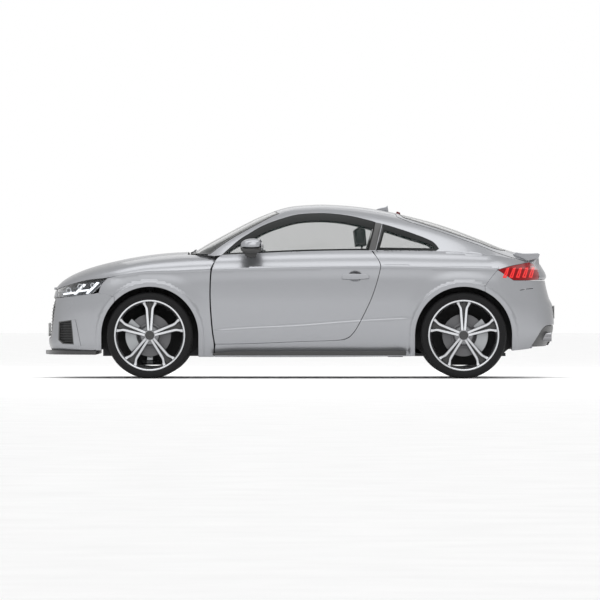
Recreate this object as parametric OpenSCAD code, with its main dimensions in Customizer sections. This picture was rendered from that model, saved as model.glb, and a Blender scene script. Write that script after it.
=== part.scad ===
// Two-door fastback coupe: sculpted body panels on a floor pan, with opening
// doors, bonnet and tailgate, steered front wheels and four rolling wheels.
// Millimetres. Front is -X, left is -Y, up is +Z; the ground is Z = 0 and the
// origin lies under the middle of the overall length.

/* [Overall size] */
// Distance between the front and rear axles
wheelbase = 2490; // [2200:10:3000]
// Front axle to the foremost point
front_overhang = 854; // [700:2:1030]
// Rear axle to the rearmost point
rear_overhang = 744; // [620:2:900]
// Width of the body over its wheel arch flares, without mirrors
body_width = 1832; // [1520:2:2200]
// Ground to the highest point of the roof skin
roof_height = 1391; // [1220:1:1670]

/* [Wheels] */
// Rolling radius of the tyres
tyre_radius = 343; // [285:1:412]
// Section width of the tyres
tyre_width = 252; // [200:2:302]
// Outside radius of the rim flange
rim_radius = 281; // [234:1:300]
// Gap between tyre and wheel arch edge
arch_gap = 44; // [38:1:60]
// Distance of the tyre's outer face inside the body's widest point
wheel_tuck = 6; // [2:1:20]
// Radius of the front brake discs
disc_radius = 169; // [140:1:203]
// Radius of the hub's centring bore
hub_bore_radius = 28.5; // [24:0.5:34]
// Largest steering angle either way
steer_limit = 32; // [20:1:34]

/* [Panels] */
// Shut line between neighbouring panels
panel_gap = 6; // [5:0.5:8]
// Thickness of the outer panels
skin = 24; // [20:1:29]
// Thickness of a whole door below its window
door_depth = 96; // [80:2:116]
// Thickness of the roof, pillars and tailgate
roof_skin = 36; // [30:1:44]
// Thickness of the window glass
glass = 6; // [5:0.5:7]
// How far the wheel arch flares stand out of the body side
flare = 22; // [18:1:26]

/* [Hidden] */
$fn = 48;

// The body lines below are drawn for these design sizes and follow the driving sizes above.
design_front_axle = -1190;
design_rear_axle = 1300;
design_front_end = -2044;
design_rear_end = 2044;
design_axle_height = 343;
design_roof = 1391;
design_half_width = 916;

overall_length = front_overhang + wheelbase + rear_overhang;
front_axle_x = front_overhang - overall_length / 2;
rear_axle_x = front_axle_x + wheelbase;
wheel_y = body_width / 2 - wheel_tuck - tyre_width / 2;
arch_radius = tyre_radius + arch_gap;
lip_radius = arch_radius + 36;
flare_radius = arch_radius + 118;

// Design coordinates to real ones
function px(x) =
    x < design_front_axle
        ? front_axle_x + (x - design_front_axle) * front_overhang / (design_front_axle - design_front_end)
    : x > design_rear_axle
        ? rear_axle_x + (x - design_rear_axle) * rear_overhang / (design_rear_end - design_rear_axle)
    : front_axle_x + (x - design_front_axle) * wheelbase / (design_rear_axle - design_front_axle);
function py(y) = y * body_width / 2 / design_half_width;
function pz(z) = tyre_radius
    + (z - design_axle_height) * (roof_height - tyre_radius) / (design_roof - design_axle_height);
function map_side(points) = [for (p = points) [px(p[0]), pz(p[1])]];
function map_plan(points) = [for (p = points) [px(p[0]), py(p[1])]];

// ---- Body lines: [position, value] knots joined by a smooth curve ----
function span_of(knots, x, i = 0) =
    i >= len(knots) - 2 || x <= knots[i + 1][0] ? i : span_of(knots, x, i + 1);
function slope_at(knots, i) =
    let (a = knots[max(i - 1, 0)], b = knots[min(i + 1, len(knots) - 1)])
    (b[1] - a[1]) / (b[0] - a[0]);
function curve(knots, x) =
    let (i = span_of(knots, x), a = knots[i], b = knots[i + 1], w = b[0] - a[0],
         t = min(max((x - a[0]) / w, 0), 1))
    a[1] * (1 + 2 * t) * (1 - t) * (1 - t) + b[1] * t * t * (3 - 2 * t)
    + w * t * (1 - t) * (slope_at(knots, i) * (1 - t) - slope_at(knots, i + 1) * t);

function nose_x(z) = curve([[150, -1940], [211, -1984], [279, -2012], [400, -2005], [543, -1998],
    [639, -1974], [707, -1954], [800, -1880]], z);
function tail_x(z) = curve([[170, 1920], [259, 1986], [359, 2034], [455, 2040], [583, 2026],
    [639, 2000], [775, 1968], [815, 1978], [900, 1934], [943, 1900], [1000, 1870]], z);
function sill_z(x) = curve([[-2010, 214], [-1850, 186], [-1570, 176], [800, 177], [1690, 222],
    [2000, 262]], x);
function shoulder_z(x) = curve([[-1950, 707], [-1838, 743], [-1678, 783], [-1534, 799],
    [-1358, 831], [-1222, 849], [-1000, 854], [-694, 867], [2, 885], [642, 891], [1282, 880],
    [1562, 872], [1950, 862]], x);
function belt_z(x) = curve([[-1960, 722], [-1534, 830], [-1000, 905], [-800, 955], [-614, 979],
    [-318, 993], [2, 1007], [402, 1015], [1058, 1011], [1300, 1000], [1500, 982], [1700, 950],
    [1900, 900]], x);
function bonnet_z(x) = curve([[-1956, 722], [-1902, 775], [-1806, 832], [-1662, 887], [-1470, 936],
    [-1278, 973], [-1086, 997], [-900, 1009], [-690, 1012]], x);
function roof_z(x) = curve([[-1000, 925], [-870, 995], [-718, 1087], [-398, 1257], [-238, 1326],
    [-78, 1371], [82, 1386], [210, 1389], [482, 1369], [802, 1314], [1122, 1230], [1442, 1112],
    [1602, 1046], [1682, 1017], [1762, 997], [1850, 990], [1930, 986]], x);
function side_width(x) = curve([[-1950, 880], [-1500, 890], [-600, 889], [0, 887], [700, 890],
    [1300, 896], [1700, 882], [2046, 850]], x);

// Rounding of the body's corners in plan, 0 at the end of the car to 1 where the side is straight
front_corner = 560;
rear_corner = 420;
function corner(d, length) =
    d <= 0 ? 0 : d >= length ? 1 : pow(1 - pow(1 - d / length, 2.2), 0.3125);

// Distance that the flare round one axle adds to the body side
function flare_at(x, z, axle_x) =
    let (dx = px(x) - axle_x, dz = max(pz(z) - tyre_radius, 0), r = norm([dx, dz]))
    r < lip_radius ? flare * (1 - 0.5 * min((lip_radius - r) / 36, 1))
    : r < flare_radius ? flare * (1 - 0.9 * (r - lip_radius) / (flare_radius - lip_radius))
    : 0;

// Half width of the body at design x and z, up to the belt, with its ends moved in by inset
function side_y(x, z, inset = 0) =
    let (round = corner(x - nose_x(z) - inset, front_corner) * corner(tail_x(z) - inset - x, rear_corner),
         s = shoulder_z(x), b = belt_z(x),
         tuck = z < 750 ? pow(750 - z, 2) / 3444 : z < s ? pow(z - 750, 2) / 2500
             : pow(s - 750, 2) / 2500 + 62 * (1 - pow(1 - min((z - s) / (b - s), 1), 2)))
    max(round * (side_width(x) - tuck - inset
        + flare_at(x, z, front_axle_x) + flare_at(x, z, rear_axle_x)), 0);

// Height of body row v at design x: 0 sill, 1 shoulder, 2 belt
function row_z(v, x) =
    v < 1 ? sill_z(x) + v * (shoulder_z(x) - sill_z(x))
    : shoulder_z(x) + (v - 1) * (belt_z(x) - shoulder_z(x));

function mirrored(points) = concat(points,
    [for (i = [len(points) - 1 : -1 : 0]) [points[i][0], -points[i][1], points[i][2]]]);
function to_real(points) = [for (p = points) [px(p[0]), py(p[1]), pz(p[2])]];

// A closed solid from cross sections that each run up the left side and down the right one
module loft(sections) {
    n = len(sections[0]);
    m = len(sections);
    polyhedron(
        points = [for (s = sections) each s],
        faces = concat(
            [for (i = [0 : m - 2], j = [0 : n - 1])
                let (k = (j + 1) % n) each [[i * n + j, i * n + k, (i + 1) * n + k],
                                            [i * n + j, (i + 1) * n + k, (i + 1) * n + j]]],
            [[for (j = [n - 1 : -1 : 0]) j]],
            [[for (j = [0 : n - 1]) (m - 1) * n + j]]));
}

// The body below the belt. Its rings run along the left side and back along the right one.
// Each column is [x, share of the nose's or tail's own movement that it follows].
columns = [[-2012, 1], [-1996, 1], [-1952, 0.9], [-1862, 0.6], [-1752, 0.3], [-1672, 0.1], [-1600, 0],
    [-1530, 0], [-1450, 0], [-1360, 0], [-1250, 0], [-1130, 0], [-1020, 0], [-930, 0], [-850, 0], [-780, 0],
    [-700, 0], [-560, 0], [-380, 0], [-180, 0], [40, 0], [260, 0], [460, 0], [620, 0], [740, 0], [830, 0],
    [910, 0], [990, 0], [1080, 0], [1190, 0], [1310, 0], [1420, 0], [1520, 0], [1600, 0], [1680, 0.05],
    [1760, 0.2], [1850, 0.45], [1940, 0.75], [2000, 0.93], [2028, 1], [2044, 1]];
function ring(v, inset) = [for (c = columns)
    let (z = row_z(v, c[0]), end = c[0] < 0 ? nose_x(z) + inset + 2012 : tail_x(z) - inset - 2044,
         x = c[0] + c[1] * end)
    [x, abs(c[0] - 16) > 2027 ? 0 : -side_y(x, z, inset), z]];
module lower_body(inset, rows) {
    n = len(columns);
    m = len(rows);
    k = 2 * n - 2;
    points = [for (v = rows) let (r = to_real(ring(v, inset)))
        each concat(r, [for (j = [n - 2 : -1 : 1]) [r[j][0], -r[j][1], r[j][2]]])];
    polyhedron(points = points, faces = concat(
        [for (i = [0 : m - 2], j = [0 : k - 1])
            let (a = i * k + j, b = i * k + (j + 1) % k)
            each [[a, b + k, b], [a, a + k, b + k]]],
        [for (i = [0, m - 1], j = [0 : n - 2])
            let (a = i * k + j, b = a + 1, c = i * k + (k - j) % k, d = i * k + k - j - 1)
            each (i == 0
                ? concat(j == 0 ? [] : [[a, d, c]], j == n - 2 ? [] : [[a, b, d]])
                : concat(j == 0 ? [] : [[a, c, d]], j == n - 2 ? [] : [[a, d, b]]))]));
}

body_rows = [0, 0.12, 0.28, 0.45, 0.62, 0.78, 0.9, 1, 1.25, 1.6, 2];
inner_rows = [-0.2, 0.12, 0.28, 0.45, 0.62, 0.78, 0.9, 1, 1.25, 1.6, 2.3];
module side_shell(thickness) {
    difference() {
        lower_body(0, body_rows);
        lower_body(thickness, inner_rows);
    }
}

// The bonnet dome above the shoulder, as cross sections from the nose back
dome_steps = [-0.5, 0, 0.15, 0.32, 0.5, 0.68, 0.82, 0.92, 0.98, 1];
function dome_section(x, inset) =
    let (s = shoulder_z(x), top = bonnet_z(x) - inset, w = side_y(x, s, inset),
         n = 3 + min((x + 700) / 1500, 0))
    to_real(mirrored([for (h = dome_steps) [x,
        -max(w * (1 - 0.05 * max(h, 0)) * pow(1 - pow(max(h, 0), n), 0.9 / n), 0.5), s + h * (top - s)]]));
bonnet_stations = [-1950, -1935, -1900, -1850, -1780, -1690, -1590, -1480, -1360, -1230, -1090, -950, -820,
    -700, -620];
module bonnet_dome(inset) {
    loft([for (x = bonnet_stations) if (x > -1952 + inset) dome_section(x, inset)]);
}

// The glasshouse above the belt
house_steps = [-0.6, -0.02, 0, 0.15, 0.3, 0.45, 0.6, 0.74, 0.85, 0.93, 0.98, 1];
function house_y(x, h, inset = 0) =
    (side_y(x, belt_z(x), inset) - (h < 0 ? 9 : 3)) * (1 - 0.3 * max(h, 0)) * pow(1 - pow(max(h, 0), 5), 0.28);
function house_section(x, inset) =
    let (b = belt_z(x), top = roof_z(x) - inset)
    to_real(mirrored([for (h = house_steps) [x, -max(house_y(x, h, inset), 0.5), b + h * (top - b)]]));
house_stations = [-990, -880, -790, -700, -600, -500, -400, -300, -210, -120, 0, 130, 270, 420, 570, 720,
    845, 970, 1100, 1230, 1360, 1480, 1600, 1700, 1790, 1860, 1900, 1915];
module glasshouse(inset) {
    loft([for (x = house_stations) if (x < 1925 - inset) house_section(x, inset)]);
}
module house_shell(outer, inner) {
    difference() {
        glasshouse(outer);
        glasshouse(inner);
    }
}

// ---- Panel outlines, drawn in side view at design size ----
window_line = [[-614, 983], [-558, 1035], [-478, 1103], [-398, 1155], [-318, 1203], [-238, 1239],
    [-158, 1267], [-78, 1291], [2, 1307], [122, 1315], [242, 1313], [402, 1293], [562, 1255], [722, 1211],
    [882, 1159], [1042, 1095], [1082, 1063], [1104, 1031], [1074, 1008]];
door_window_line = concat([for (p = window_line) if (p[0] < 500) p], [[590, 1247], [536, 1010]]);
quarter_window_line = concat([[606, 1013], [662, 1228]], [for (p = window_line) if (p[0] > 700) p]);
door_line = [[-606, 992], [-622, 979], [-662, 943], [-684, 903], [-694, 863], [-702, 783], [-704, 623],
    [-694, 463], [-678, 303], [-664, 271], [-398, 279], [2, 295], [242, 303], [338, 311], [378, 325],
    [402, 341], [442, 391], [482, 463], [522, 543], [562, 631], [594, 719], [618, 799], [634, 863],
    [638, 897], [618, 947], [594, 979], [566, 1030]];
windscreen_line = [[-876, 992], [-712, 988], [-638, 1047], [-558, 1103], [-478, 1151], [-318, 1239],
    [-166, 1315], [-214, 1345], [-214, 1420], [-885, 1420]];
roof_line = [[-166, 1315], [-214, 1345], [-214, 1480], [762, 1480], [762, 1318], [750, 1296],
    [560, 1330], [240, 1358], [0, 1352]];
tail_line = [[762, 1440], [762, 1318], [776, 1286], [874, 1247], [962, 1219], [1122, 1167], [1282, 1111],
    [1442, 1053], [1522, 1019], [1590, 990], [1700, 950], [1800, 900], [1840, 866], [2100, 866], [2100, 1440]];
rear_glass_line = [[790, 1440], [800, 1300], [880, 1266], [962, 1239], [1122, 1187], [1282, 1131],
    [1442, 1075], [1522, 1042], [1602, 1017], [1640, 1017], [1640, 1440]];
lamp_line = [[1570, 863], [1682, 895], [1762, 911], [1834, 927], [1882, 895], [1930, 850], [2100, 840],
    [2100, 781], [1842, 779], [1698, 779], [1642, 815]];
front_lamp_line = [[-2100, 641], [-1934, 641], [-1838, 649], [-1758, 659], [-1670, 671], [-1646, 679],
    [-1614, 707], [-1574, 743], [-1526, 799], [-1678, 783], [-1838, 743], [-1902, 720], [-1950, 707], [-2100, 700]];
bumper_seam = [[-2200, 640], [-1940, 640], [-1670, 670], [-1640, 672], [-1598, 679], [-1470, 647], [-1470, 100],
    [-2200, 100]];
rear_bumper_line = [[1560, 863], [1506, 783], [1470, 735], [1470, 100], [2200, 100], [2200, 779], [1698, 779],
    [1642, 815], [1570, 863]];

module grown(points, by) {
    offset(delta = by) polygon(map_side(points));
}
module across(y0, y1) {
    translate([0, max(y0, y1), 0]) rotate([90, 0, 0]) linear_extrude(abs(y1 - y0)) children();
}
module half(side, inside = 0) {
    across(side * inside, side * 1300) children();
}
module axle_circle(x, r) {
    translate([x, tyre_radius]) circle(r);
}
module arch_opening(r) {
    for (x = [front_axle_x, rear_axle_x]) {
        axle_circle(x, r);
        translate([x - r, -50]) square([2 * r, tyre_radius + 50]);
    }
}
// Box between real points, given as low and high corners
module box(low, high) {
    translate(low) cube(high - low);
}
// The same solid on the left (-Y) and on the right
module both_sides() {
    children();
    mirror([0, 1, 0]) children();
}
// Lower body skin inside an outline
module side_panel(side, thickness = skin, inside = 0) {
    resize([0, 0, 0]) intersection() {
        side_shell(thickness);
        half(side, inside) children();
    }
}
// A slice of the glasshouse between two insets, inside an outline
module house_panel(side, outer, inner, inside = 0) {
    resize([0, 0, 0]) intersection() {
        house_shell(outer, inner);
        half(side, inside) children();
    }
}
module whole_house_panel(outer, inner) {
    resize([0, 0, 0]) intersection() {
        house_shell(outer, inner);
        across(-1300, 1300) children();
    }
}

// ---- Fixed structure ----
floor_z = pz(176);
module floor_pan() {
    color("dimgray") {
        translate([0, 0, floor_z]) linear_extrude(24) polygon(map_plan([[-740, -640], [-660, -726],
            [860, -726], [860, -590], [1640, -590], [1640, 590], [860, 590], [860, 726], [-660, 726],
            [-740, 640]]));
        for (side = [-1, 1]) {
            box([px(-1570), side * py(455) - 15, floor_z], [px(-740), side * py(455) + 15, floor_z + 60]);
            box([px(-1880), side * py(455) - 15, floor_z + 59], [px(-1530), side * py(455) + 15, floor_z + 120]);
        }
        box([px(-1880), -py(470), floor_z + 60], [px(-1880) + 40, py(470), floor_z + 120]);
        translate([px(-700), -110, floor_z]) cube([px(1000) - px(-700), 220, 150]);
        translate([px(1076), -py(586), pz(500)]) cube([px(1880) - px(1076), 2 * py(586), 16]);
        translate([px(1060), -py(586), floor_z]) cube([16, 2 * py(586), pz(516) - floor_z]);
        for (side = [-1, 1], x = [-560, 760])
            translate([px(x) - 60, side * py(684) - 40, floor_z - 6]) cube([120, 80, 6.5]);
    }
}

module firewall() {
    color("dimgray") box([px(-780), -py(700), floor_z + 61], [px(-764), py(700), pz(900)]);
}

kingpin_y = wheel_y - 14;
module swing_arm(side, z, end) {
    translate([0, 0, z]) linear_extrude(22) polygon([
        for (p = [[-90, 330], [-90, 420], [-26, 590], [-24, end], [24, end], [26, 590], [90, 420], [90, 330]])
            [p[0], side * p[1]]]);
}
module front_subframe() {
    color("dimgray") translate([front_axle_x, 0, tyre_radius]) {
        translate([-90, -330, -224]) cube([180, 660, 22]);
        for (side = [-1, 1]) {
            swing_arm(side, -224, kingpin_y + 22);
            swing_arm(side, 202, kingpin_y + 22);
            translate([-70, side * 380 - 45, -203]) cube([140, 90, 406]);
            translate([0, side * 585, 223]) cylinder(r = 28, h = 160);
            translate([0, side * kingpin_y, -203]) cylinder(r = 9, h = 27);
            translate([0, side * kingpin_y, 176]) cylinder(r = 9, h = 27);
        }
    }
}

module engine() {
    color("gray") box([px(-1470), -310, floor_z + 10], [px(-900), 310, pz(820)]);
}

module rear_hub(side) {
    translate([0, 0, -62]) cylinder(r = 58, h = 30);
    translate([0, 0, -62]) cylinder(r = hub_bore_radius - 0.06, h = 150);
    caliper(1);
}
module rear_axle() {
    color("dimgray") translate([rear_axle_x, 0, tyre_radius]) {
        rotate([90, 0, 0]) cylinder(r = 38, h = 2 * (wheel_y - 60), center = true);
        for (side = [-1, 1]) translate([0, side * wheel_y, 0]) rotate([-side * 90, 0, 0]) rear_hub(side);
    }
}

module liner(x, y0) {
    outer = arch_radius + 22;
    color("#222222") both_sides() translate([x, 0, tyre_radius]) {
        across(y0, py(752)) difference() {
            circle(outer);
            circle(outer - 12);
            translate([-outer, -outer - 100]) square([2 * outer, outer]);
        }
        across(y0, y0 + 6) difference() {
            circle(outer - 6);
            translate([-outer, -outer - 100]) square([2 * outer, outer]);
            translate([-120, -outer]) square([240, outer + 270]);
        }
    }
}
module arch_liners() {
    liner(front_axle_x, 484);
    liner(rear_axle_x, py(598));
}

// ---- Skin panels ----
module roof_panel() {
    color("silver") whole_house_panel(0, roof_skin) grown(roof_line, -panel_gap / 2);
}

module body_side(side) {
    color("silver") side_panel(side, 60, 300) difference() {
        polygon(map_side([[-690, 100], [-690, 300], [0, 400], [540, 900], [540, 1100], [1560, 1100],
            [1850, 940], [1850, 850], [1700, 100]]));
        grown(door_line, panel_gap);
        grown(tail_line, panel_gap / 2);
        grown(lamp_line, panel_gap / 2);
        grown(rear_bumper_line, panel_gap / 2);
        arch_opening(arch_radius);
    }
}
// Side view area up to just above the belt, where the glasshouse pieces end
module below_belt() {
    polygon(map_side(concat([for (c = columns) if (abs(c[0]) < 1920) [c[0], belt_z(c[0]) + 1]],
        [[1920, 100], [-1920, 100]])));
}
// The pillars and the rail above the windows, which stand on the belt
module window_frame(side) {
    color("silver") house_panel(side, 0, roof_skin) difference() {
        polygon(map_side([[-730, 900], [-730, 1000], [-214, 1500], [800, 1500], [1836, 1100], [1836, 800]]));
        below_belt();
        grown(door_window_line, panel_gap);
        grown(quarter_window_line, panel_gap);
        grown(windscreen_line, panel_gap);
        grown(roof_line, panel_gap / 2);
        grown(tail_line, panel_gap / 2);
        grown(door_line, panel_gap);
        grown([[-2000, 500], [-600, 500], [-600, 955], [-712, 986], [-2000, 986]], 1);
    }
}
module body_side_left() { body_side(-1); }
module body_side_right() { mirror([0, 1, 0]) body_side(-1); }
module window_frame_left() { window_frame(-1); }
module window_frame_right() { mirror([0, 1, 0]) window_frame(-1); }

shoulder_xs = [-1950, -1900, -1838, -1760, -1678, -1600, -1534, -1440, -1358, -1222, -1100, -1000, -850, -694];
fender_line = concat([[-1598, 679], [-1574, 743], [-1526, 796]],
    [for (x = shoulder_xs) if (x > -1526) [x, shoulder_z(x)]],
    [[-706, 868], [-712, 783], [-714, 623], [-704, 463], [-698, 303], [-696, 100], [-1470, 100], [-1470, 650]]);
bonnet_line = concat([[-2100, 704]], [for (x = shoulder_xs) [x, shoulder_z(x)]],
    [[-690, 905], [-668, 944], [-646, 962], [-716, 978], [-890, 986], [-890, 1200], [-2100, 1200]]);

module front_fenders() {
    color("silver") both_sides() side_panel(-1, skin, 300) difference() {
        grown(fender_line, -panel_gap / 2);
        arch_opening(arch_radius);
    }
}

intake_line = [[-1918, 455], [-1812, 467], [-1796, 263], [-1890, 271], [-1930, 303]];
module front_openings(by) {
    translate([px(-2100), 0, 0]) rotate([90, 0, 90]) linear_extrude(400) offset(delta = by)
        polygon([for (p = [[-440, 655], [440, 655], [500, 560], [390, 300], [-390, 300], [-500, 560]])
            [py(p[0]), pz(p[1])]]);
    both_sides() across(py(590), py(1000)) grown(intake_line, by);
}
module front_bumper() {
    color("silver") {
        resize([0, 0, 0]) difference() {
            intersection() {
                side_shell(skin);
                union() {
                    across(-1300, 1300) difference() {
                        grown(bumper_seam, -panel_gap / 2);
                        arch_opening(arch_radius);
                        grown(front_lamp_line, panel_gap / 2);
                        translate([px(-2200), 0]) square([1000, pz(222)]);
                    }
                    across(-py(480), py(480)) polygon(map_side([[-2200, 620], [-2200, 696], [-1950, 700],
                        [-1896, 712], [-1880, 620]]));
                }
            }
            front_openings(0);
        }
    }
}
module grilles() {
    color("#1c1c1c") resize([0, 0, 0]) intersection() {
        difference() {
            lower_body(10, inner_rows);
            lower_body(20, inner_rows);
        }
        front_openings(-2);
    }
}
module front_splitter() {
    tip = [for (d = [0, 6, 20, 50, 100, 170, 250, 320, 390]) let (x = nose_x(222) + d) [x, side_y(x, 222)]];
    color("#1c1c1c") translate([0, 0, pz(186)]) linear_extrude(pz(222) - pz(186) - 0.5)
        polygon([for (q = [1, -1], i = [0 : len(tip) - 1])
            let (k = q > 0 ? i : len(tip) - 1 - i, t = 1 - k / (len(tip) - 1))
            [px(tip[k][0]) - (tip[0][0] - design_front_end) * t * front_overhang / 854, q * py(tip[k][1] + 8 * (1 - t))]]);
}
module side_skirts() {
    color("#1c1c1c") both_sides()
        box([px(-678), py(815), pz(186)], [px(784), py(848), pz(218)]);
}
module rear_bumper() {
    color("silver") resize([0, 0, 0]) difference() {
        intersection() {
            side_shell(skin);
            across(-1300, 1300) difference() {
                grown(rear_bumper_line, -panel_gap / 2);
                arch_opening(arch_radius);
                polygon(map_side([[1880, 100], [1880, 340], [1930, 400], [2200, 420], [2200, 100]]));
            }
        }
        // Seat of the registration plate
        box([px(2034), -262, pz(470) - 2], [px(2100), 262, pz(470) + 114]);
    }
}
module rear_diffuser() {
    color("#1c1c1c") resize([0, 0, 0]) intersection() {
        difference() {
            lower_body(6, body_rows);
            lower_body(60, inner_rows);
        }
        across(-1300, 1300) grown([[1880, 150], [1880, 340], [1930, 400], [2200, 420], [2200, 150]], -4);
        difference() {
            translate([0, -py(700), 0]) cube([3000, 2 * py(700), 1000]);
            both_sides() for (y = [430, 530]) translate([0, py(y), pz(330)]) rotate([0, 90, 0])
                cylinder(r = 44, h = 3000);
        }
    }
}
module exhaust() {
    color("lightgray") {
        box([px(1560), -py(560), floor_z + 30], [px(1820), py(560), pz(400)]);
        both_sides() for (y = [430, 530])
            translate([px(1818), py(y), pz(330)]) rotate([0, 90, 0]) difference() {
                cylinder(r = 38, h = px(2010) - px(1818));
                translate([0, 0, 30]) cylinder(r = 33, h = 400);
            }
    }
}
module headlights() {
    color("whitesmoke") both_sides() side_panel(-1, skin, py(486))
        grown(front_lamp_line, -panel_gap / 2);
}
module taillights() {
    color("firebrick") both_sides() side_panel(-1, skin, py(606))
        grown(lamp_line, -panel_gap / 2);
}
module windscreen() {
    color("darkslategray") whole_house_panel(0, glass) grown(windscreen_line, 0);
}
module quarter_windows() {
    color("darkslategray") both_sides() house_panel(-1, 0, glass) difference() {
        grown(quarter_window_line, 0);
        below_belt();
    }
}
module number_plates() {
    color("white") {
        box([px(2044) - 9, -260, pz(470)], [px(2044), 260, pz(470) + 112]);
        box([px(-2006) - 9, -260, pz(330)], [px(-2006), 260, pz(330) + 112]);
    }
}

// ---- Cabin ----
module seat_profile(points, width, y) {
    translate([0, y, 0]) across(-width / 2, width / 2) polygon(map_side(points));
}
module front_seats() {
    color("#303030") for (y = [-360, 360]) {
        seat_profile([[-140, 330], [-150, 430], [-90, 470], [330, 420], [400, 330]], 480, y);
        seat_profile([[320, 430], [470, 980], [430, 1010], [520, 1020], [590, 980], [420, 400]], 460, y);
        seat_profile([[430, 1010], [420, 1190], [470, 1212], [530, 1190], [550, 1010]], 260, y);
        box([px(-100), y - 180, floor_z + 24], [px(380), y + 180, pz(332)]);
    }
}
module rear_seat() {
    color("#303030") seat_profile([[640, 330], [640, 480], [700, 500], [960, 470], [1010, 880], [1050, 880],
        [1050, 330]], 1120, 0);
}
module dashboard() {
    color("#262626") seat_profile([[-740, 560], [-740, 930], [-560, 960], [-470, 950], [-370, 900], [-330, 820],
        [-400, 680], [-560, 560]], 1400, 0);
}
module steering_wheel() {
    color("#202020") translate([px(-214), -360, pz(850)]) rotate([0, 66, 0]) {
        rotate_extrude() translate([176, 0]) circle(14, $fn = 24);
        translate([0, 0, -18]) cylinder(r = 60, h = 30);
        for (a = [0, 120, 240]) rotate(a) translate([50, -14, -9]) cube([120, 28, 14]);
        translate([0, 0, -112]) cylinder(r = 22, h = 95);
    }
}

// ---- Opening panels ----
// Plan of the space the bonnet leaves free, so it can rise past the foot of the windscreen
screen_foot = [[-892, 0], [-886, 455], [-868, 620], [-818, 742], [-724, 804], [-640, 820], [-560, 820],
    [-560, 0]];
module bonnet() {
    color("silver") resize([0, 0, 0]) intersection() {
        difference() {
            bonnet_dome(0);
            bonnet_dome(skin);
            both_sides() translate([0, 0, pz(700)]) linear_extrude(500)
                polygon(map_plan([for (p = screen_foot) [p[0], -max(p[1], -1)]]));
        }
        across(-1300, 1300) grown(bonnet_line, -panel_gap / 2);
    }
}
spoiler_line = [[1706, 996], [1722, 1008], [1778, 997], [1898, 998], [1914, 990], [1906, 968], [1882, 966],
    [1790, 972]];
module tailgate() {
    color("silver") resize([0, 0, 0]) difference() {
        intersection() {
            union() {
                house_shell(0, roof_skin);
                side_shell(roof_skin);
            }
            union() {
                across(-1300, 1300) grown(tail_line, -panel_gap / 2);
                across(-py(600), py(600)) polygon(map_side([[1840, 1000], [1840, 783], [2100, 783],
                    [2100, 1000]]));
            }
        }
        across(-py(660), py(660)) grown(rear_glass_line, 4);
        both_sides() half(-1, py(600)) grown(lamp_line, panel_gap / 2);
        across(-py(600), py(600)) polygon(map_side(spoiler_line));
    }
}
module rear_window() {
    color("darkslategray") resize([0, 0, 0]) intersection() {
        house_shell(0, glass);
        across(-py(654), py(654)) grown(rear_glass_line, 0);
    }
}
module spoiler() {
    color("silver") across(-py(600) + 0.5, py(600) - 0.5) polygon(map_side(spoiler_line));
}

module door(side) {
    color("silver") resize([0, 0, 0]) intersection() {
        difference() {
            lower_body(0, body_rows);
            lower_body(door_depth, inner_rows);
            difference() {
                lower_body(skin, inner_rows);
                half(side) grown(door_line, -34);
            }
        }
        half(side, 300) polygon(map_side(door_line));
    }
}
module door_window(side) {
    color("darkslategray") house_panel(side, 0, glass) difference() {
        grown(door_window_line, 0);
        below_belt();
    }
}
module door_mirror(side) {
    color("silver") {
        resize([0, 0, 0]) hull() {
            for (y = [side * py(850), side * py(965)], s = [y == side * py(965) ? 0.86 : 1])
                translate([px(-385), y, pz(1048)]) rotate([90, 0, 0])
                    linear_extrude(1, center = true) scale(s)
                    polygon([[-86, -44], [-60, 40], [20, 62], [84, 50], [88, -38], [60, -62], [-60, -62]]);
        }
        translate([px(-385) - 40, side > 0 ? py(829) : -py(870), pz(960)]) cube([70, py(870) - py(829), 34]);
    }
}
module door_handle(side) {
    color("silver") across(side * py(892), side * py(910)) polygon(map_side([[338, 792], [338, 818], [352, 826],
        [540, 822], [548, 812], [548, 796]]));
}
module door_left() { door(-1); }
module door_right() { mirror([0, 1, 0]) door(-1); }
module door_window_left() { door_window(-1); }
module door_window_right() { mirror([0, 1, 0]) door_window(-1); }
module door_mirror_left() { door_mirror(-1); }
module door_mirror_right() { door_mirror(1); }
module door_handle_left() { door_handle(-1); }
module door_handle_right() { door_handle(1); }

// ---- Wheels: local +Z points outwards along the axle ----
module at_wheel(x, side) {
    translate([x, side * wheel_y, tyre_radius]) rotate([-side * 90, 0, 0]) children();
}
module caliper(turn) {
    // Straddles the disc on the side given by turn: -1 forward, 1 rearward
    difference() {
        translate([0, 0, -52]) linear_extrude(104) difference() {
            circle(disc_radius + 24);
            circle(disc_radius - 62);
            rotate(turn > 0 ? -42 : 138) translate([-400, -800]) square([800, 800]);
            rotate(turn > 0 ? 42 : 222) translate([-400, 0]) square([800, 800]);
        }
        translate([0, 0, -19]) cylinder(r = disc_radius + 7, h = 38);
    }
}
module knuckle(side) {
    color("dimgray") at_wheel(front_axle_x, side) difference() {
        union() {
            translate([0, 0, -62]) cylinder(r = 58, h = 30);
            translate([0, 0, -62]) cylinder(r = hub_bore_radius - 0.06, h = 150);
            translate([-22, -196, -62]) cube([44, 392, 30]);
            for (q = [0, 1]) mirror([0, q, 0]) translate([-22, 177, -62]) cube([44, 19, 66]);
            caliper(-1);
            translate([-disc_radius + 10, -30, -52]) cube([disc_radius - 30, 60, 22]);
        }
        translate([0, -300, -14]) rotate([-90, 0, 0]) cylinder(r = 9.06, h = 600);
    }
}
module tyre(x, side) {
    w = tyre_width / 2;
    t = tyre_radius;
    r = rim_radius;
    color("#1a1a1a") at_wheel(x, side) rotate_extrude($fn = 96) polygon(concat(
        [[r - 14, -w + 22], [r + 1, -w + 22], [r + 4, -w + 8], [t - 40, -w], [t - 12, -w + 10], [t, -w + 36]],
        [[t, w - 36], [t - 12, w - 10], [t - 40, w], [r + 4, w - 8], [r + 1, w - 22], [r - 14, w - 22]]));
}
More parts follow.
